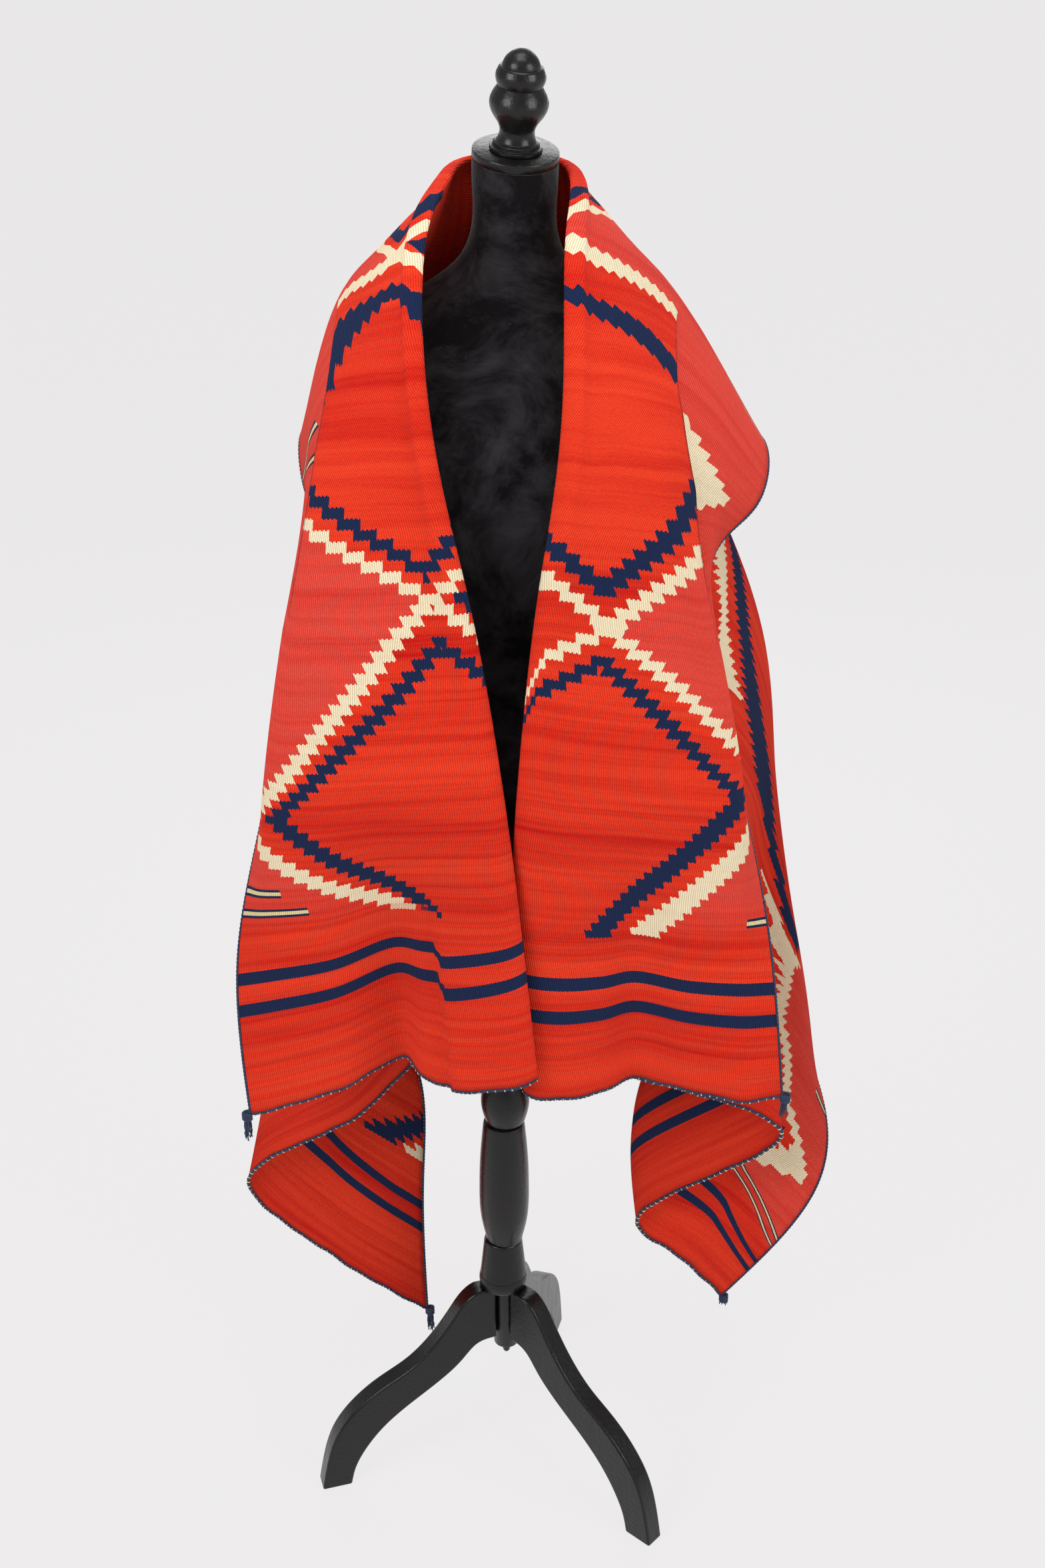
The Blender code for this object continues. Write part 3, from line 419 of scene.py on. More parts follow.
# Where the figures lie. The model hasn't all the real cloth's folds, so these tables carry
# the figures to where the photo shows them. A row starts with a distance on the model from
# the nearer hem, and most that are given to the millimetre are a photo point's, worked out
# through the solved camera by a script. The places on the flat web that follow are the
# figures' own.
# how far along the web the fold itself is, on each side
LEFT_ALONG = ((0.0, 0.0), (0.06, 0.025), (0.60, 0.565), (0.84, 0.838), (0.90, 0.885),
              (0.935, 0.940), (0.97, 0.998), (1.04, 1.060), (1.13, 1.130))
RIGHT_ALONG = ((0.0, 0.0), (0.856, 0.856), (0.91, 0.895), (0.937, 0.929), (0.979, 0.978),
               (1.03, 1.040), (1.13, 1.130))
# where the fold lies across the web
FOLD_ACROSS = 0.34
LEFT_FOLD = ((0.0, FOLD_ACROSS), (1.13, FOLD_ACROSS))
RIGHT_FOLD = ((0.0, 0.340), (0.22, 0.340), (0.60, 0.380), (0.86, 0.310), (0.92, 0.275),
              (0.98, 0.275), (1.13, 0.320))
# how much the collar is sheared down towards its free side over the shoulder
SHEAR = 0.6
SHEAR_STOPS = 0.29
LEFT_SHEAR_MIDDLE = 0.275
RIGHT_SHEAR_MIDDLE = 0.27
LEFT_SHEAR = ((0.0, 0.0), (0.84, 0.0), (0.87, 0.4), (0.92, 1.0), (0.98, 1.0), (1.06, 0.0))
RIGHT_SHEAR = ((0.0, 0.0), (0.70, 0.0), (0.76, 0.2), (0.856, 0.75), (0.90, 1.0), (0.96, 1.0),
               (1.06, 0.0))
# behind the lapel's edge: (distance from the hem, how far across the edge is, how far along
# the web the edge and the free side are, how much of this holds)
LEFT_PLANE = ((0.60, 0.06, 0.60, 0.60, 0.0), (0.66, 0.06, 0.65, 0.65, 1.0),
              (0.80, 0.06, 0.80, 0.80, 1.0), (0.857, 0.10, 0.85, 0.85, 1.0),
              (0.90, 0.15, 0.89, 0.89, 1.0), (0.95, 0.18, 0.93, 0.93, 0.0))
RIGHT_PLANE = ((0.58, 0.005, 0.62, 0.62, 0.0), (0.64, 0.010, 0.65, 0.65, 1.0),
               (0.715, 0.070, 0.725, 0.720, 1.0), (0.75, 0.108, 0.770, 0.758, 1.0),
               (0.79, 0.142, 0.820, 0.785, 1.0), (0.832, 0.182, 0.868, 0.815, 1.0),
               (0.885, 0.185, 0.910, 0.849, 1.0), (0.93, 0.160, 0.890, 0.880, 1.0),
               (0.96, 0.140, 0.900, 0.900, 0.0))
# how far across the left body's free edge is, and how much further along
LEFT_BOTTOM = ((0.0, 1.34, 0.0), (0.06, 1.30, 0.0), (0.13, 1.19, 0.01), (0.178, 1.19, 0.02),
               (0.30, 1.20, 0.02), (0.42, 1.22, 0.0), (0.64, 1.30, 0.0), (0.84, 1.34, 0.0))
# the right body: how far along the web it is by its turned-up side, its middle and its free
# edge, then how far across, and how much of that holds
RIGHT_NEAR = ((0.0, 0.0), (0.20, 0.220), (0.27, 0.390), (0.351, 0.545), (0.426, 0.603),
              (0.471, 0.645), (0.503, 0.700), (0.597, 0.732), (0.679, 0.762), (0.79, 0.785),
              (0.95, 0.95), (1.13, 1.13))
RIGHT_MIDDLE = ((0.0, 0.0), (0.05, 0.070), (0.105, 0.170), (0.138, 0.262), (0.185, 0.360),
                (0.271, 0.500), (0.351, 0.565), (0.426, 0.603), (0.471, 0.645),
                (0.503, 0.700), (0.597, 0.732), (0.679, 0.762), (0.79, 0.785), (0.95, 0.95),
                (1.13, 1.13))
RIGHT_FAR = ((0.0, 0.0), (0.048, 0.100), (0.062, 0.142), (0.091, 0.232), (0.102, 0.262),
             (0.185, 0.430), (0.271, 0.510), (0.351, 0.570), (0.471, 0.645), (0.503, 0.700),
             (0.597, 0.732), (0.679, 0.762), (0.79, 0.785), (0.95, 0.95), (1.13, 1.13))
RIGHT_ACROSS = ((0.34, 0.34), (0.50, 0.76), (0.60, 0.80), (0.64, 0.823), (0.66, 0.862),
                (0.70, 0.895), (0.74, 0.915), (0.83, 0.951), (0.861, 0.962), (0.977, 1.010),
                (1.061, 1.040), (1.108, 1.045), (1.136, 1.098), (1.242, 1.200), (1.34, 1.34))
# how much of RIGHT_ACROSS holds, how much bolder the lines are, and how deep their steps
RIGHT_ACROSS_HOLDS = ((0.0, 0.0), (0.20, 0.0), (0.36, 0.3), (0.426, 1.0), (0.80, 1.0), (1.0, 0.0))
RIGHT_BOLD = ((0.0, 0.0), (0.17, 0.1), (0.22, 0.6), (0.38, 0.5), (0.42, 0.0),
              (0.46, 0.9), (0.57, 0.7), (0.64, 0.0))
RIGHT_TEETH = ((0.0, -0.2), (0.42, 0.2), (0.47, 2.0))
# where the collar gives way to the body, and the parts where nothing or less is figured
COLLAR_REACH = 0.36
COLLAR_FADE = 0.06
PLEAT_FADE = 0.11
PLAIN_FROM = 0.88
PLAIN_ACROSS = 0.50
CREAM_HIDDEN = 0.505
CREAM_HIDDEN_HALF = 0.06


def read(table, places, column=1):
    """A column of a table, read at places between its rows."""
    table = np.array(table)
    return np.interp(places, table[:, 0], table[:, column])


def thread_places(grid, places):
    """How far each point is along and across the web by its own threads."""
    run = run_across(grid)
    return np.broadcast_to(places[:, None], run.shape), run


def figure_places(run, places):
    """What each point shows of the flat web's figures: how far along and across it they are,
    where the weft that makes their steps lies, how drawn up or askew they are, and where
    there are none."""
    reach, side = nearer_hem(places)
    right = side[:, None] > 0
    far = reach[:, None]

    def pick(left_table, right_table, column=1):
        return np.where(right, read(right_table, reach, column)[:, None],
                        read(left_table, reach, column)[:, None])

    fold = sum(COLLAR_SPANS) + ROLL_SPANS[0]
    at_fold = run[:, fold:fold + 1]
    fold_across = pick(LEFT_FOLD, RIGHT_FOLD)
    share = np.clip((run - at_fold) / (run[:, -1:] - at_fold), 0.0, 1.0)
    whole = ((0.0, WEB_WIDTH, 0.0), (1.0, WEB_WIDTH, 0.0))
    bottom = pick(LEFT_BOTTOM, whole)
    across = fold_across + np.where(run < at_fold, run - at_fold,
                                    share * (bottom - fold_across))
    along = pick(LEFT_ALONG, RIGHT_ALONG) + np.zeros_like(run)
    askew = pick(LEFT_SHEAR, RIGHT_SHEAR)
    along += SHEAR * askew * (np.minimum(across, SHEAR_STOPS) - np.where(
        right, RIGHT_SHEAR_MIDDLE, LEFT_SHEAR_MIDDLE))
    sheds = along - pick(LEFT_ALONG, RIGHT_ALONG) + far
    along += pick(LEFT_BOTTOM, whole, 2) * ramp(share, 0.80, 0.14)
    body_side = ramp(across, COLLAR_REACH, COLLAR_FADE)
    pleated = ramp(across, FOLD_ACROSS - PLEAT_OFF_FOLD, PLEAT_EDGE)
    pleated = pleated * np.clip((COLLAR_REACH - across) / PLEAT_FADE, 0.0, 1.0) * ~right
    along += read(PLEAT_DROP, reach)[:, None] * pleated
    # the right body
    by_share = ramp(share, 0.78, 0.12)
    by_edge = ramp(share, 0.90, 0.10)
    near, mid, out = (read(table, reach)[:, None]
                      for table in (RIGHT_NEAR, RIGHT_MIDDLE, RIGHT_FAR))
    drawn = near + (mid - near) * by_share + (out - mid) * by_edge
    along = np.where(right, along + (drawn - along) * body_side, along)
    holds = read(RIGHT_ACROSS_HOLDS, reach)[:, None] * body_side
    across = np.where(right, across + (read(RIGHT_ACROSS, across) - across) * holds, across)
    bold = right * body_side * read(RIGHT_BOLD, reach)[:, None]
    drops = (0.30 * ~right * np.clip(share - 0.87, 0.0, 1.0)
             * read(LEFT_BOTTOM, reach, 2)[:, None] / 0.02)
    across = across - drops
    # behind the lapel's edge
    edge_run = run[:, COLLAR_SPANS[0]:COLLAR_SPANS[0] + 1]
    part_way = np.clip(run / edge_run, 0.0, 1.0)
    behind = (np.arange(run.shape[1]) < COLLAR_SPANS[0])[None, :]
    plane = [pick(LEFT_PLANE, RIGHT_PLANE, column) for column in (1, 2, 3, 4)]
    hold = plane[3] * behind
    across = across + (plane[0] * part_way - across) * hold
    along = along + (plane[2] + (plane[1] - plane[2]) * part_way - along) * hold
    sheds = sheds + (far - sheds) * hold
    bold = bold + right * hold
    drawn_by = np.clip(np.gradient(along, axis=0) / np.gradient(sheds, axis=0), 0.15, 1.3)
    # inside the collar, near the neck, only the plain field shows
    inside = np.arange(run.shape[1])[None, :] > fold + ROLL_SPANS[1]
    figured = 1.0 - (inside & (far > PLAIN_FROM) & (across < PLAIN_ACROSS))
    # and beside the right lapel the cream line has gone behind it
    figured -= 0.3 * (right & inside & (abs(far - CREAM_HIDDEN) < CREAM_HIDDEN_HALF))
    teeth = 1.0 - 0.9 * askew * (across < COLLAR_REACH)
    teeth = teeth + right * body_side * read(RIGHT_TEETH, reach)[:, None]
    along, sheds = (np.where(right, WEB_LENGTH - part, part) for part in (along, sheds))
    return {"along": along, "across": across, "sheds": sheds, "drawn": drawn_by,
            "figured": figured, "bold": 1.0 + bold, "toothed": teeth}


grid, places = web_surface()
normals = surface_normals(grid)
thread_along, thread_across = thread_places(grid, places)
figure_values = figure_places(thread_across, places)
figure_values.update(thread_along=thread_along, thread_across=thread_across)


def put_up(name, points, faces, finish, stands_for=(), crease=None):
    """One piece of the part: its mesh, its finish, and the solids that it stands for."""
    mesh = bpy.data.meshes.new(name)
    mesh.from_pydata([tuple(Vector(point) + STAND) for point in points], [], faces)
    form = bmesh.new()
    form.from_mesh(mesh)
    bmesh.ops.recalc_face_normals(form, faces=form.faces)
    form.to_mesh(mesh)
    form.free()
    mesh.materials.append(finish)
    mesh.shade_smooth()
    if crease is not None:
        mesh.set_sharp_from_angle(angle=math.radians(crease))
    piece = bpy.data.objects.new(name, mesh)
    bpy.context.scene.collection.objects.link(piece)
    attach(piece, "root")
    if stands_for:
        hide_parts(*stands_for)
    return piece


class Yarn:
    """A value in a finish's node tree. Arithmetic on it adds Math nodes to that tree."""

    def __init__(self, tree, socket=None):
        self.tree = tree
        self.socket = socket

    def node(self, kind, settings=None, values=None, out=0):
        made = self.tree.nodes.new(kind)
        for name, value in (settings or {}).items():
            if name == "stops":
                while len(made.color_ramp.elements) < len(value):
                    made.color_ramp.elements.new(0.5)
                for stop, (place, shade) in zip(made.color_ramp.elements, value):
                    stop.position = place
                    stop.color = (shade, shade, shade, 1.0)
            else:
                setattr(made, name, value)
        for name, value in (values or {}).items():
            if isinstance(value, Yarn):
                self.tree.links.new(value.socket, made.inputs[name])
            else:
                made.inputs[name].default_value = value
        return Yarn(self.tree, made.outputs[out])

    def math(self, operation, *others):
        values = dict(enumerate((self,) + others))
        return self.node("ShaderNodeMath", {"operation": operation}, values)

    def __add__(self, other):
        return self.math("ADD", other)

    def __sub__(self, other):
        return self.math("SUBTRACT", other)

    def __rsub__(self, other):
        return self.node("ShaderNodeMath", {"operation": "SUBTRACT"}, {0: other, 1: self})

    def __mul__(self, other):
        return self.math("MULTIPLY", other)

    def __truediv__(self, other):
        return self.math("DIVIDE", other)

    def __mod__(self, other):
        return self.math("FLOORED_MODULO", other)

    def __abs__(self):
        return self.math("ABSOLUTE")

    def __lt__(self, other):
        return self.math("LESS_THAN", other)

    def __gt__(self, other):
        return self.math("GREATER_THAN", other)

    def __and__(self, other):
        return self.math("MULTIPLY", other)

    def __or__(self, other):
        return self.math("MAXIMUM", other)

    __radd__ = __add__
    __rmul__ = __mul__

    def layer(self, name):
        """A value that the mesh carries at each of its points."""
        return self.node("ShaderNodeAttribute", {"attribute_name": name}, out="Fac")

    def place(self):
        """Where on its object the finish is read."""
        return self.node("ShaderNodeTexCoord", out="Object")

    def noise(self, scale, detail=3.0, out="Fac", **more):
        """Soft random patches over this place."""
        values = {"Vector": self, "Scale": scale, "Detail": detail, **more}
        return self.node("ShaderNodeTexNoise", None, values, out)

    def spread(self, low, high, to_low=0.0, to_high=1.0):
        """This value's range from low to high, stretched over another range."""
        return self.node("ShaderNodeMapRange", None, {
            "Value": self, "From Min": low, "From Max": high, "To Min": to_low,
            "To Max": to_high})

    def between(self, first, second):
        """A colour from first to second, as this value goes from 0 to 1."""
        return self.node("ShaderNodeMix", {"data_type": "RGBA"}, {0: self, 6: first, 7: second},
                         2)

    def lit(self, value):
        """This colour, made lighter or darker by a value."""
        return self.node("ShaderNodeVectorMath", {"operation": "SCALE"},
                         {0: self, "Scale": value})


def new_finish(name):
    """A material with a Principled shader, and the yarn that its nodes are spun from."""
    made = bpy.data.materials.new(name)
    made.use_nodes = True
    return made, Yarn(made.node_tree)


def set_finish(made, sockets, height=None, depth=0.001):
    """Sets the shader's sockets by values or yarns, with a relief of a depth in metres."""
    shader = made.node_tree.nodes["Principled BSDF"]
    sockets = dict(sockets)
    if height is not None:
        sockets["Normal"] = height.node("ShaderNodeBump", None,
                                        {"Height": height, "Distance": depth})
    for name, value in sockets.items():
        if isinstance(value, Yarn):
            made.node_tree.links.new(value.socket, shader.inputs[name])
        else:
            shader.inputs[name].default_value = value


WARP_PITCH = 0.0024
WEFT_PITCH = 0.0011
STEP = 0.0108
STEP_SLANT = -0.27
COMB = 0.0012
COLUMN_OFF_MIDDLE = 0.37
FIGURES_FROM = 0.208
TIP_SHARE = 0.90
TIP_REACH = 0.06
NESTED_OFF = 0.036
NESTED_HALF = 0.0130
TOP_ORANGE = (0.92, 0.052, 0.017, 1.0)
DEEP_RED = (0.60, 0.006, 0.004, 1.0)
ROSE = (0.84, 0.070, 0.046, 1.0)
CREAM = (1.0, 0.86, 0.60, 1.0)
CREAM_DULL = (0.85, 0.66, 0.40, 1.0)
INDIGO = (0.013, 0.027, 0.088, 1.0)
INDIGO_DARK = (0.007, 0.012, 0.040, 1.0)
PALE_YELLOW = (0.84, 0.70, 0.36, 1.0)

# The stepped outlines, a row for each lozenge of a column. Distances along the web from the
# end: where it starts, is widest, and stops; then its half width, and half the width of its
# line below and above the widest place. The weaver's two ends aren't quite alike.
LEFT_LOZENGES = (
    ("cream", 0.130, 0.350, 0.612, 0.277, 0.0165, 0.0115),
    ("cream", 0.612, 0.785, 0.955, 0.240, 0.0118, 0.0150),
    ("cream", 0.955, 1.130, 1.305, 0.240, 0.0150, 0.0150),
    ("indigo", 0.147, 0.372, 0.562, 0.220, 0.0150, 0.0113),
    ("indigo", 0.645, 0.785, 0.908, 0.175, 0.0130, 0.0150),
    ("indigo", 0.990, 1.130, 1.270, 0.175, 0.0150, 0.0150),
)
RIGHT_LOZENGES = (
    ("cream", 0.040, 0.430, 0.602, 0.265, 0.0165, 0.0130),
    ("cream", 0.605, 0.785, 0.955, 0.240, 0.0135, 0.0138),
    ("cream", 0.955, 1.130, 1.305, 0.240, 0.0150, 0.0150),
    ("indigo", 0.118, 0.420, 0.567, 0.196, 0.0155, 0.0130),
    ("indigo", 0.645, 0.785, 0.908, 0.175, 0.0160, 0.0075),
    ("indigo", 0.990, 1.130, 1.270, 0.175, 0.0150, 0.0150),
)
# stripes right across the web, as (distance from its end, half their width)
STRIPES = ((0.100, 0.0082), (0.142, 0.0085))
# bars in from each long edge, as (distance from the web's end, length by the collar's edge
# at the left and right ends, and by the body's edge)
BARS = ((0.232, 0.096, 0.070, 0.165), (0.262, 0.070, 0.046, 0.155),
        (0.410, 0.050, 0.050, 0.0), (0.448, 0.050, 0.050, 0.0), (0.555, 0.0, 0.0, 0.055),
        (0.590, 0.0, 0.0, 0.055),
        (0.630, 0.060, 0.030, 0.050), (0.790, 0.055, 0.0, 0.050),
        (0.826, 0.055, 0.0, 0.050))
BAR_HALF = 0.0064
BAR_CORE = 0.0027

wool, spin = new_finish("tapestry_wool")
at_along = spin.layer("along")
at_across = spin.layer("across")
thread_u = spin.layer("thread_along")
thread_v = spin.layer("thread_across")
spot = spin.place()
end = at_along.math("PINGPONG", WEB_LENGTH / 2)
right_end = at_along > WEB_LENGTH / 2
body_edge = at_across > WEB_WIDTH / 2
middle = abs(at_across - WEB_WIDTH / 2)
off_column = abs(middle - COLUMN_OFF_MIDDLE)
edge = WEB_WIDTH / 2 - middle
warp = at_across / WARP_PITCH
toothed = spin.layer("toothed")
bold = spin.layer("bold")
steady = toothed.math("MINIMUM", 1.0)
jag = ((warp % 2.0) > 1.0) * COMB * steady
wander = spot.noise(9.0, 2.0).spread(0.3, 0.7, -0.002, 0.002) * steady
shed_end = spin.layer("sheds").math("PINGPONG", WEB_LENGTH / 2)
drawn = spin.layer("drawn")
shown = spin.layer("figured")
in_step = (((shed_end + jag + wander) / STEP).math("FRACT") - 0.5) * STEP
step_end = (jag + wander - in_step) * drawn * (steady * 0.65 + 0.35) + end


def by_end(left, right):
    """A size that the web's two ends may have differently."""
    return left if left == right else right_end * (right - left) + left


lines = {"cream": 0.0, "indigo": 0.0}
cream_reach = 0.0
for left_row, right_row in zip(LEFT_LOZENGES, RIGHT_LOZENGES):
    start, widest, stop, half, line_below, line_above = (
        by_end(left, right) for left, right in zip(left_row[1:], right_row[1:]))
    is_above = step_end > widest
    rise = is_above * (stop - widest) + (1.0 - is_above) * (widest - start)
    reach = (1.0 - abs(step_end - widest) / rise) * half
    tip = (reach / TIP_REACH).spread(0.0, 1.0, TIP_SHARE, 1.0)
    line = (is_above * line_above + (1.0 - is_above) * line_below) * tip * bold
    slant = in_step * STEP_SLANT * (1.0 - is_above * 2.0) * toothed
    lines[left_row[0]] = (abs(off_column - reach - slant) < line) | lines[left_row[0]]
    if left_row[0] == "cream":
        cream_reach = reach | cream_reach
figures = (step_end > FIGURES_FROM) & (shown > 0.5)
nested = (abs(off_column - cream_reach - NESTED_OFF) < NESTED_HALF) & (
    middle < COLUMN_OFF_MIDDLE) & (at_along < WEB_LENGTH / 2)
outside = (off_column > cream_reach) & (middle > COLUMN_OFF_MIDDLE)

# uneven dyeing: streaks along the weft, broad drifts of colour, and each yarn's own shade
streak_place = spin.node("ShaderNodeCombineXYZ", None,
                         {"X": thread_u * 95.0, "Y": thread_v * 2.2})
streaks = streak_place.noise(1.0, 4.0, Roughness=0.62).spread(0.42, 0.72)
drift_place = spin.node("ShaderNodeCombineXYZ", None,
                        {"X": thread_u * 14.0, "Y": thread_v * 1.3})
drift = drift_place.noise(1.0, 2.0).spread(0.38, 0.70)
heather_place = spin.node("ShaderNodeCombineXYZ", None,
                          {"X": thread_u / WEFT_PITCH, "Y": thread_v / WARP_PITCH * 0.5})
heather = heather_place.noise(1.0, 1.0).spread(0.25, 0.75)
field = (streaks * 0.62 + drift * 0.50).between(TOP_ORANGE, DEEP_RED)
rose_field = (streaks * 0.45).between(ROSE, DEEP_RED)
rose_amount = outside * (end + wander * 5.0).spread(0.205, 0.275)
ground = rose_amount.between(field, rose_field)
cream_yarn = (heather * 0.5 + streaks * 0.3).between(CREAM, CREAM_DULL)
indigo_yarn = (heather * 0.6).between(INDIGO, INDIGO_DARK)

colour = ((lines["indigo"] | nested) & figures).between(ground, indigo_yarn)
colour = (lines["cream"] & figures & (shown > 0.85)).between(colour, cream_yarn)
for place, half in STRIPES:
    stripe = abs(end + jag * 0.3 - place) < half
    colour = stripe.between(colour, indigo_yarn)
for place, left_length, right_length, body_length in BARS:
    length = by_end(left_length, right_length)
    near = edge < body_edge * (body_length - length) + length
    bar = (abs(end - place) < BAR_HALF) & near
    core = (abs(end - place) < BAR_CORE) & near
    colour = core.between(bar.between(colour, indigo_yarn), PALE_YELLOW)

rib = abs((thread_v * (math.pi / WARP_PITCH)).math("SINE"))
weft_shift = ((thread_v / WARP_PITCH) % 2.0).math("FLOOR") * 0.5
weft = ((thread_u / WEFT_PITCH + weft_shift) * (2 * math.pi)).math("SINE")
fuzz = spot.noise(900.0, 2.0)
# painted shade and highlight: the colour is painted darker in the grooves between the warp ribs
# and a touch lighter on their crowns; the heather gives each yarn its own tone
colour = colour.lit(rib.spread(0.0, 1.0, 0.72, 1.06) * heather.spread(0.0, 1.0, 0.92, 1.08))
relief = rib + weft * 0.22 + fuzz * 0.35
set_finish(wool, {"Base Color": colour, "Roughness": fuzz.spread(0.3, 0.7, 0.82, 0.96),
                  "Specular IOR Level": 0.06, "Sheen Weight": 0.02, "Sheen Roughness": 0.6},
           relief, 0.0007)

rows, columns = grid.shape[:2]
faces = [(i * columns + j, (i + 1) * columns + j, (i + 1) * columns + j + 1, i * columns + j + 1)
         for i in range(rows - 1) for j in range(columns - 1)]
web = put_up("serape_web", grid.reshape(-1, 3), faces, wool,
             [f"serape_{side}_{band}" for side in ("left", "back", "right")
              for band in ("collar", "body")])
for name, values in figure_values.items():
    layer = web.data.attributes.new(name, "FLOAT", "POINT")
    layer.data.foreach_set("value", np.ascontiguousarray(values, dtype=np.float32).ravel())
wall = web.modifiers.new("wall", "SOLIDIFY")
wall.thickness = WALL
wall.offset = 0.0
wall.use_even_offset = False

# The cords. Hard-twisted indigo wool is twined along both ends, and round it every warp's
# loop shows as a small pale stitch. Thinner pairs of indigo cords run down both long edges.
CORD_RADIUS = 0.0021
CORD_GAP = 0.0004
CORD_STEP = 0.0016
TWIST_PITCH = 0.0105
CORD_SIDES = 8
STITCH_PITCH = 0.0088
STITCH_SIDES = 5
STITCH_ARC = 5
STITCH_WRAP = 115.0
STITCH_RADII = (0.00050, 0.00085)
STITCH_SEED = 7


def line_along(edge_points, edge_outs, edge_ups):
    """An edge of the web, evenly stepped, with its outward and upward ways at each step."""
    run = run_along(edge_points)
    at = np.arange(0.0, run[-1], CORD_STEP)
    return at, *(np.stack([np.interp(at, run, values[:, k]) for k in range(3)], axis=1)
                 for values in (edge_points, edge_outs, edge_ups))


def web_edge(line, inside, ups):
    """An edge's points and its ways out and up, evenly stepped."""
    outs = np.cross(np.gradient(line, axis=0), ups)
    outs /= np.linalg.norm(outs, axis=1, keepdims=True)
    outs *= np.sign(np.sum(outs * (line - inside), axis=1, keepdims=True))
    return line_along(line, outs, ups)


def loft_faces(rings, steps, first=0):
    """Faces for rings of points from the first on, closed at both ends."""
    faces = [tuple(first + k for k in range(steps))]
    for i in range(rings - 1):
        for k in range(steps):
            a, b = first + i * steps + k, first + i * steps + (k + 1) % steps
            faces.append((a, b, b + steps, a + steps))
    faces.append(tuple(first + (rings - 1) * steps + k for k in reversed(range(steps))))
    return faces


def twisted_cord(at, line, outs, ups, radius, lobes, depth):
    """A cord of a few plies, twisted round each other along an edge."""
    centre = line + outs * (radius * 0.75 + CORD_GAP)
    points = []
    for s, place, out, up in zip(at, centre, outs, ups):
        for k in range(CORD_SIDES):
            turn = 2 * math.pi * k / CORD_SIDES
            swell = 1.0 + depth * math.cos(lobes * turn - 2 * math.pi * s / TWIST_PITCH * lobes)
            points.append(place + (out * math.cos(turn) + up * math.sin(turn)) * radius * swell)
    return points, loft_faces(len(at), CORD_SIDES)


cord_wool, spin = new_finish("indigo_twist")
spot = spin.place()
ply = spot.noise(420.0, 2.0)
worn = spot.noise(60.0, 3.0).spread(0.45, 0.75)
set_finish(cord_wool, {"Base Color": (worn * 0.5).between((0.012, 0.022, 0.060, 1.0),
                                                           (0.045, 0.060, 0.105, 1.0)),
                       "Roughness": ply.spread(0.3, 0.7, 0.75, 0.95), "Sheen Weight": 0.1},
           ply, 0.0006)
loop_wool, spin = new_finish("undyed_warp")
spot = spin.place()
tone = spot.noise(300.0, 2.0)
set_finish(loop_wool, {"Base Color": tone.spread(0.3, 0.7).between((0.84, 0.70, 0.48, 1.0),
                                                                   (0.60, 0.42, 0.25, 1.0)),
                       "Roughness": 0.9}, tone, 0.0004)


def stitches(at, line, outs, ups, radius):
    """Small pale loops of warp laid over an end cord, one every few millimetres."""
    points, faces = [], []
    gap = int(round(STITCH_PITCH / CORD_STEP))
    rng = np.random.default_rng(STITCH_SEED)
    for i in range(gap, len(at) - gap, gap):
        place = line[i] + outs[i] * (radius * 0.75 + CORD_GAP)
        ahead = line[i + 1] - line[i]
        ahead /= np.linalg.norm(ahead)
        lean = rng.uniform(-0.5, 0.5)
        thick = rng.uniform(*STITCH_RADII)
        first = len(points)
        for k in range(STITCH_ARC):
            turn = math.radians(STITCH_WRAP * (2.0 * k / (STITCH_ARC - 1) - 1.0))
            ring = outs[i] * math.cos(turn) + ups[i] * math.sin(turn)
            centre = place + ring * radius * 1.12 + ahead * lean * radius * math.sin(turn)
            size = thick * (0.4 if k in (0, STITCH_ARC - 1) else 1.0)
            for m in range(STITCH_SIDES):
                spin_turn = 2 * math.pi * m / STITCH_SIDES
                points.append(centre + (ahead * math.cos(spin_turn)
                                        + ring * math.sin(spin_turn)) * size)
        faces.extend(loft_faces(STITCH_ARC, STITCH_SIDES, first))
    return points, faces


for name, line, inside, ups in (
        ("end_cord_left", grid[0], grid[1], normals[0]),
        ("end_cord_right", grid[-1], grid[-2], normals[-1]),
        ("selvage_cord_collar", grid[:, 0], grid[:, 1], normals[:, 0]),
        ("selvage_cord_body", grid[:, -1], grid[:, -2], normals[:, -1])):
    at, line, outs, ups = web_edge(line, inside, ups)
    is_end = name.startswith("end")
    radius = CORD_RADIUS if is_end else CORD_RADIUS * 0.72
    points, faces = twisted_cord(at, line, outs, ups, radius, 2, 0.24)
    put_up(f"twined_{name}", points, faces, cord_wool, [name])
    if is_end:
        points, faces = stitches(at, line, outs, ups, radius)
        put_up(f"warp_loops_{name[9:]}", points, faces, loop_wool)

# The corner tassels. Where the cords meet at a corner their ends are knotted together and
# left to hang, a few centimetres of loose indigo yarn; one is worn down to its knot.
# a row for each: its node, how many strands, and which way it sways
TASSELS = (
    ("tassel_left_collar", 24, 0.0),
    ("tassel_left_body", 22, 0.15),
    ("tassel_right_collar", 18, -0.1),
    ("tassel_right_body", 9, 0.0),
)
STRAND_RADIUS = 0.0010
STRAND_SIDES = 5
STRAND_RINGS = 10
KNOT_REACH = 0.0040
WRAP_TURNS = 3.2
WRAP_REACH = (0.0046, 0.0038)
WRAP_DROP = 0.0100
WRAP_POINTS = 64
WRAP_RADIUS = 0.0020
WRAP_SIDES = 6


def yarn_tube(points, faces, path, radii, sides):
    """Adds a closed tube along a path, with a radius at each place."""
    first = len(points)
    ahead = np.gradient(path, axis=0)
    for place, way, radius in zip(path, ahead, radii):
        way = Vector(way).normalized()
        aside = way.cross(Vector((0.31, 0.95, 0.05))).normalized()
        up = way.cross(aside)
        for k in range(sides):
            turn = 2 * math.pi * k / sides
            points.append(Vector(place) + (aside * math.cos(turn) + up * math.sin(turn)) * radius)
    faces.extend(loft_faces(len(path), sides, first))


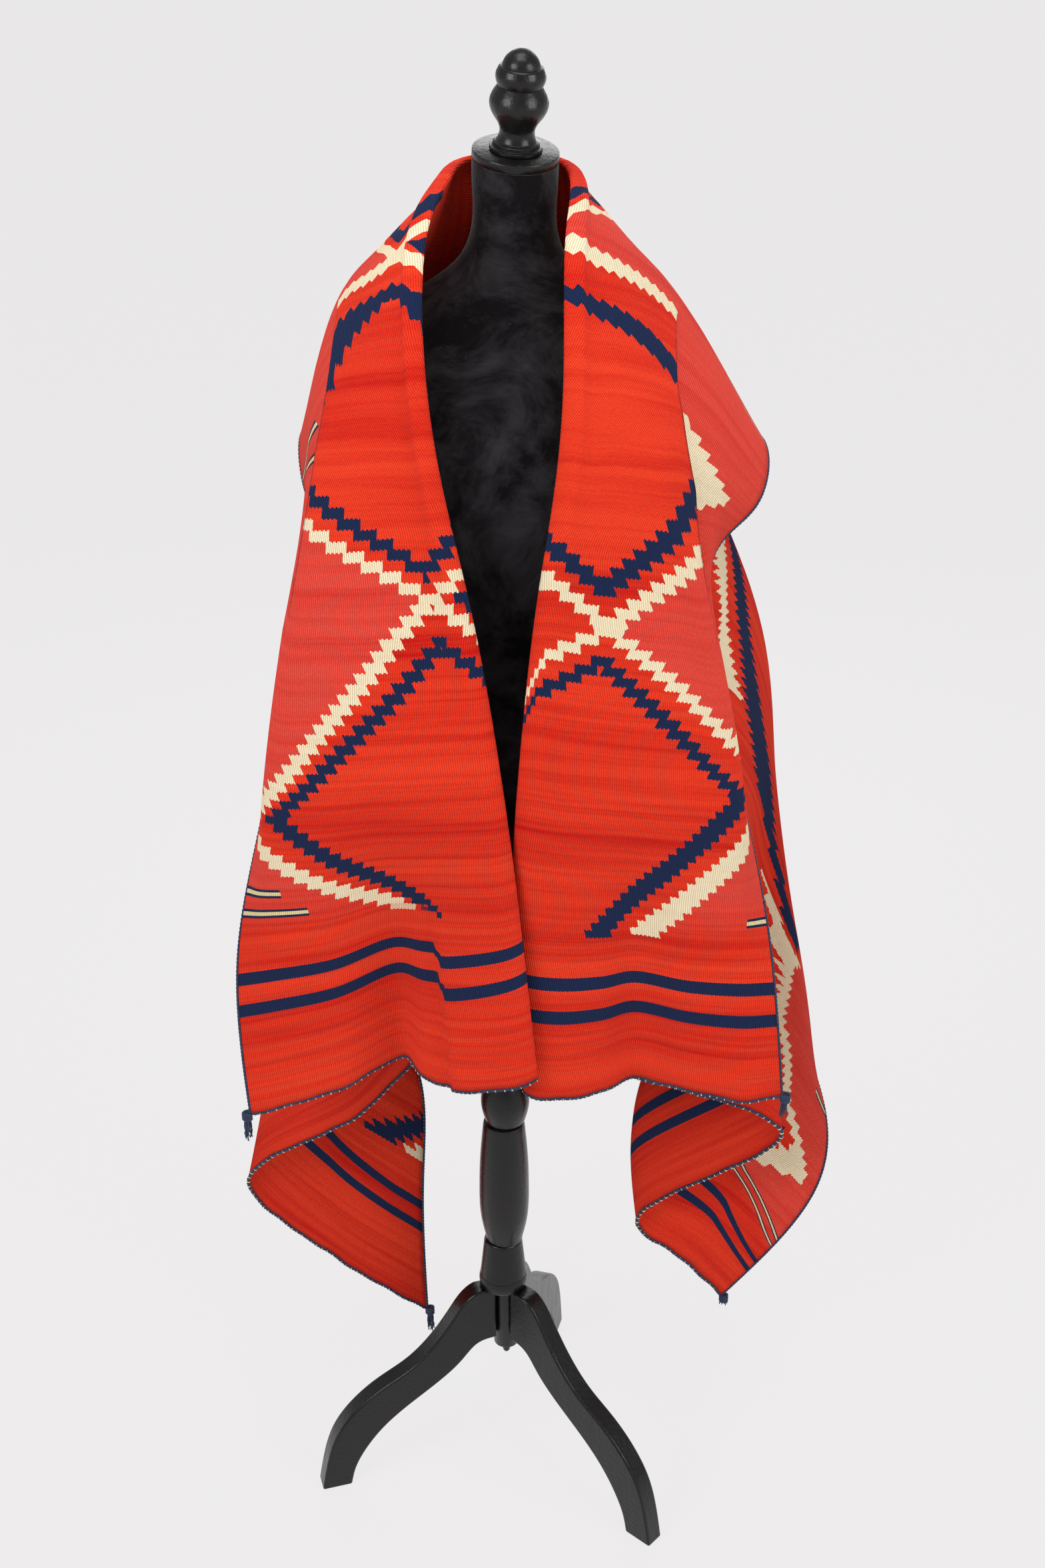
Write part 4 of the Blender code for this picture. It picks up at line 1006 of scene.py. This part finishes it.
for name, strands, sway in TASSELS:
    low, high = (Vector(corner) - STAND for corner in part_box(name))
    head = Vector(((low.x + high.x) / 2, (low.y + high.y) / 2, high.z))
    drop = high.z - low.z
    rng = np.random.default_rng(len(name) + strands)
    points, faces = [], []
    wound = 2 * math.pi * WRAP_TURNS
    wrap = np.array([head + Vector((math.cos(t) * WRAP_REACH[0], math.sin(t) * WRAP_REACH[1],
                                    0.0005 - WRAP_DROP * t / wound))
                     for t in np.linspace(0.0, wound, WRAP_POINTS)])
    yarn_tube(points, faces, wrap, np.full(len(wrap), WRAP_RADIUS), WRAP_SIDES)
    for strand in range(strands):
        turn = rng.uniform(0.0, 2 * math.pi)
        out = math.sqrt(rng.uniform(0.05, 1.0)) * KNOT_REACH
        reach = drop * rng.uniform(0.72, 1.0)
        phase = rng.uniform(0.0, 2 * math.pi)
        path = []
        for k in range(STRAND_RINGS):
            t = k / (STRAND_RINGS - 1)
            spread = out * (0.6 + 0.9 * t)
            curl = 0.0012 * t * math.sin(phase + 7.0 * t)
            path.append(head + Vector((math.cos(turn) * spread + curl + sway * 0.012 * t * t,
                                       math.sin(turn) * spread * 0.8 + curl * 0.7,
                                       -0.001 - (reach - 0.001) * t)))
        radii = [STRAND_RADIUS * (1.0 - 0.45 * k / (STRAND_RINGS - 1))
                 for k in range(STRAND_RINGS)]
        yarn_tube(points, faces, np.array(path), radii, STRAND_SIDES)
    put_up(f"yarn_{name}", points, faces, cord_wool, [name])

# The torso. A limbless padded form under black cotton velvet, drawn in to a slim neck. The
# pile is brushed this way and that, and where it catches the light it is painted lighter.
LEAN = 0.0128
LEAN_FOOT = 0.29
LEAN_SIDE = -0.001
CAP_FORWARD = math.radians(12.0)
CAP_SIDEWAYS = math.radians(4.0)
TORSO_STEPS = 96
TORSO_RINGS = 90
# a row for each ring, in centimetres: its height, half its width, its depth in front and
# behind, and how many degrees it is tipped forward
TORSO = (
    (100.0, 13.6, 9.6, 9.6, 0),
    (101.2, 14.4, 10.2, 10.2, 0),
    (105.0, 14.2, 10.0, 10.0, 0),
    (111.0, 12.6, 8.9, 8.8, 0),
    (118.0, 11.6, 8.4, 8.2, 0),
    (125.0, 12.6, 9.4, 8.8, 0),
    (132.0, 14.0, 11.4, 9.4, 0),
    (138.0, 14.6, 11.9, 9.8, 0),
    (144.0, 14.8, 10.8, 9.9, 0),
    (149.5, 15.3, 9.2, 10.55, 0),
    (153.5, 14.87, 7.8, 9.13, 0),
    (156.5, 12.7, 6.6, 7.8, 0),
    (158.8, 9.6, 5.6, 6.6, 1),
    (161.0, 6.4, 4.9, 5.4, 3),
    (163.5, 4.7, 4.4, 4.7, 6),
    (166.5, 4.2, 4.2, 4.3, 9),
    (169.0, 4.3, 4.2, 4.3, 12),
    (171.62, 4.35, 4.3, 4.35, 12),
)


def lean_at(height):
    """How far to the side the leaning stand's axis is at a height."""
    return LEAN_SIDE + max(0.0, height - LEAN_FOOT) * LEAN


torso_table = np.array(TORSO, float)
heights = np.linspace(TORSO[0][0], TORSO[-1][0], TORSO_RINGS)
points = []
for height, half_width, front, back, forward in natural_spline(torso_table[:, 0], torso_table,
                                                                heights):
    tip = math.tan(math.radians(forward))
    side_tip = math.tan(CAP_SIDEWAYS) * forward / math.degrees(CAP_FORWARD)
    for k in range(TORSO_STEPS):
        angle = 2 * math.pi * k / TORSO_STEPS
        x = half_width / 100 * math.cos(angle)
        y = (front if math.sin(angle) < 0 else back) / 100 * math.sin(angle)
        points.append((lean_at(height / 100) + x, y, height / 100 + y * tip - x * side_tip))

velvet, spin = new_finish("brushed_velvet")
spot = spin.place()
warped = spot.noise(5.0, 2.0, out="Color").lit(0.22)
pile_place = spin.node("ShaderNodeVectorMath", {"operation": "ADD"}, {0: spot, 1: warped})
brushed_pile_sheen = pile_place.noise(13.0, 6.0, Roughness=0.70).spread(0.43, 0.68)
nap = spot.noise(1600.0, 1.0)
lint = spot.noise(260.0, 1.0).spread(0.74, 0.80)
# painted sheen: the brushed patches are painted lighter grey over the velvet's near-black colour;
# the same patches also give the pile its relief
set_finish(velvet, {"Base Color": (brushed_pile_sheen * 0.8 | lint * 0.6).between(
                        (0.0035, 0.0030, 0.0036, 1.0), (0.044, 0.042, 0.046, 1.0)),
                    "Roughness": nap.spread(0.3, 0.7, 0.85, 1.0), "Specular IOR Level": 0.12,
                    "Sheen Weight": 0.22, "Sheen Roughness": 0.35},
           brushed_pile_sheen * 0.8 + nap * 0.25, 0.0012)
put_up("velvet_torso", points, loft_faces(TORSO_RINGS, TORSO_STEPS), velvet,
       ["torso"], 60.0)

# The neck cap and the finial. A turned disc closes the neck, tipped as the neck is, and a
# turned finial is screwed down on it: a stepped foot, a waist, a bulb, a ring and a dome.
CAP_HEIGHT = 1.7165
CAP_RADIUS = 0.0437
CAP_THICK = 0.009
SEAT_GAP = 0.0003
FINIAL_SHARE = 0.955
ROUND_STEPS = 72

lacquer, spin = new_finish("black_lacquer")
spot = spin.place()
stretched = spin.node("ShaderNodeVectorMath", {"operation": "MULTIPLY"},
                      {0: spot, 1: (1.0, 1.0, 0.12)})
grain = stretched.noise(150.0, 4.0)
dimple = spot.noise(240.0, 3.0)
wear = spot.noise(22.0, 4.0).spread(0.60, 0.80)
set_finish(lacquer, {"Base Color": (wear * 0.35).between((0.004, 0.0035, 0.0035, 1.0),
                                                          (0.030, 0.022, 0.018, 1.0)),
                     "Roughness": (grain * 0.6 + dimple * 0.4).spread(0.3, 0.7, 0.24, 0.42),
                     "Specular IOR Level": 0.25,
                     "Coat Weight": wear.spread(0.0, 1.0, 0.22, 0.06), "Coat Roughness": 0.16},
           grain * 0.6 + dimple, 0.0006)


def turned(name, profile, place, *nodes):
    """A turned piece: rings of (radius, height) about its own axis, closed at both ends."""
    points = []
    for radius, height in profile:
        for k in range(ROUND_STEPS):
            angle = 2 * math.pi * k / ROUND_STEPS
            spot = Vector((radius * math.cos(angle), radius * math.sin(angle), height))
            points.append(place @ spot)
    put_up(name, points, loft_faces(len(profile), ROUND_STEPS), lacquer,
           nodes, 38.0)


def swelling(start, stop, bulge, steps):
    """Profile points from start to stop, swelling by bulge half way."""
    return [(start[0] + (stop[0] - start[0]) * k / steps + bulge * math.sin(math.pi * k / steps),
             start[1] + (stop[1] - start[1]) * k / steps) for k in range(steps + 1)]


seat = Matrix.Translation(Vector((lean_at(CAP_HEIGHT), 0.0, CAP_HEIGHT)))
seat = seat @ Matrix.Rotation(CAP_FORWARD, 4, "X") @ Matrix.Rotation(CAP_SIDEWAYS, 4, "Y")
LIP = 0.0012
cap_profile = [(CAP_RADIUS - LIP, 0.0), (CAP_RADIUS - LIP * 0.3, LIP * 0.3), (CAP_RADIUS, LIP),
               (CAP_RADIUS, CAP_THICK - LIP), (CAP_RADIUS - LIP * 0.3, CAP_THICK - LIP * 0.3),
               (CAP_RADIUS - LIP, CAP_THICK)]
turned("turned_cap", cap_profile, seat, "neck_cap")
finial_profile = [(0.0260, 0.0), (0.0268, 0.0008), (0.0268, 0.0033), (0.0262, 0.0040),
                  (0.0240, 0.0044), (0.0236, 0.0048), (0.0236, 0.0080), (0.0230, 0.0088),
                  (0.0208, 0.0094), (0.0200, 0.0100)]
finial_profile += swelling((0.0200, 0.0100), (0.0210, 0.0300), -0.0030, 12)[1:]
finial_profile += swelling((0.0210, 0.0300), (0.0222, 0.0665), 0.0078, 18)[1:]
finial_profile += swelling((0.0228, 0.0675), (0.0218, 0.0855), 0.0026, 12)
finial_profile += [(0.0204, 0.0862), (0.0190, 0.0865), (0.0187, 0.0885), (0.0180, 0.0905),
                   (0.0167, 0.0933), (0.0150, 0.0958), (0.0129, 0.0981), (0.0105, 0.1002),
                   (0.0079, 0.1018), (0.0050, 0.1030), (0.0020, 0.1036)]
finial_profile = [(radius, height * FINIAL_SHARE) for radius, height in finial_profile]
turned("turned_finial", finial_profile,
       seat @ Matrix.Translation(Vector((0.0, 0.0, CAP_THICK + SEAT_GAP))), "finial")

# The post. Turned lengths one above the other on the stand's rod: a ball, a long vase and a
# tapering collar, over the plain hub that the three legs are screwed to.
HUB_RADIUS = 0.0165
HUB_TOP = 0.287


def upright(height):
    """A place on the leaning axis, for a length of the post about that height."""
    return Matrix.Translation(Vector((lean_at(height), 0.0, 0.0)))


turned("turned_rod", [(0.0150, 0.6185), (0.0150, 0.640), (0.0125, 0.644), (0.0125, 0.9997)],
       upright(0.80), "post_rod")
turned("turned_ball", [(0.0215, 0.5475), (0.0228, 0.5480)]
       + swelling((0.0250, 0.5500), (0.0180, 0.6180), 0.0085, 20), upright(0.58), "post_ball")
vase_profile = [(0.0225, 0.3612), (0.0234, 0.3622), (0.0236, 0.3650)]
vase_profile += swelling((0.0236, 0.3650), (0.0318, 0.4300), 0.0022, 14)[1:]
vase_profile += swelling((0.0318, 0.4300), (0.0262, 0.5420), 0.0016, 20)[1:]
vase_profile += [(0.0252, 0.5455), (0.0225, 0.5472)]
turned("turned_vase", vase_profile, upright(0.45), "post_vase")
collar_profile = [(0.0296, HUB_TOP)] + swelling((0.0304, 0.2885), (0.0304, 0.3035), 0.0012, 10)
collar_profile += [(0.0296, 0.3050), (0.0300, 0.3062), (0.0296, 0.3075), (0.0246, 0.3580),
                   (0.0240, 0.3600), (0.0232, 0.3609)]
turned("turned_collar", collar_profile, upright(0.32), "post_collar")
hub_profile = [(0.0035, 0.1690), (0.0048, 0.1720), (0.0048, 0.1865), (0.0155, 0.1868),
               (HUB_RADIUS - 0.0003, 0.1873), (HUB_RADIUS, 0.1880),
               (HUB_RADIUS, HUB_TOP - SEAT_GAP)]
turned("turned_hub", hub_profile, Matrix.Translation(Vector((HUB_OFF_COLUMN, 0.0, 0.0))),
       "leg_hub")

# The legs. Three S-shaped legs sawn from one board, their edges eased, screwed to the hub
# and standing on their sawn ends.
LEG_BOARD = 0.026
LEG_TURNS = (196.4, 318.4, 74.8)
LEG_EASE = 0.0028
LEG_STEPS = 64
# a leg's side, as (reach, height) in centimetres along its upper and its lower edge
LEG_UPPER = ((1.7, 28.62), (4.2, 28.62), (5.6, 27.7), (7.4, 25.2), (10.2, 21.2), (13.6, 17.9),
             (17.4, 15.6), (20.8, 12.9), (23.6, 9.2), (25.1, 4.8), (26.0, 0.0))
LEG_LOWER = ((1.7, 20.6), (4.0, 20.2), (6.2, 18.0), (9.7, 14.8), (13.6, 12.0), (17.2, 9.0),
             (19.9, 5.6), (21.4, 2.6), (22.0, 0.0))


def leg_edge(points):
    """A smooth edge of a leg through its points, evenly stepped."""
    points = np.array(points) / 100.0
    knots = run_along(points)
    edge_line = natural_spline(knots, points, np.linspace(0.0, knots[-1], LEG_STEPS + 1))
    edge_line[:, 1] = np.clip(edge_line[:, 1], 0.0, HUB_TOP - 2 * SEAT_GAP)
    edge_line[:, 0] = np.maximum(edge_line[:, 0], HUB_RADIUS + SEAT_GAP)
    return edge_line


upper_edge, lower_edge = leg_edge(LEG_UPPER), leg_edge(LEG_LOWER)
count = LEG_STEPS + 1
for leg, degrees in enumerate(LEG_TURNS, start=1):
    turn = math.radians(degrees)
    ahead = np.array([math.cos(turn), math.sin(turn), 0.0])
    aside = np.array([-math.sin(turn), math.cos(turn), 0.0])
    points = [np.array([HUB_OFF_COLUMN, 0.0, height]) + ahead * reach
              + aside * side * LEG_BOARD / 2
              for side in (-1, 1) for edge_line in (upper_edge, lower_edge)
              for reach, height in edge_line]
    faces = [tuple(range(count)) + tuple(count + i for i in reversed(range(count))),
             tuple(2 * count + i for i in range(count))
             + tuple(3 * count + i for i in reversed(range(count)))]
    for i in range(LEG_STEPS):
        faces.append((i, 2 * count + i, 2 * count + i + 1, i + 1))
        faces.append((count + i, count + i + 1, 3 * count + i + 1, 3 * count + i))
    faces.append((0, count, 3 * count, 2 * count))
    faces.append((LEG_STEPS, 2 * count + LEG_STEPS, 3 * count + LEG_STEPS, count + LEG_STEPS))
    sawn = put_up(f"sawn_leg_{leg}", points, faces, lacquer,
                  [f"leg_{leg}"], 35.0)
    ease = sawn.modifiers.new("ease", "BEVEL")
    ease.width = LEG_EASE
    ease.segments = 3
    ease.limit_method = "ANGLE"
    ease.angle_limit = math.radians(50.0)
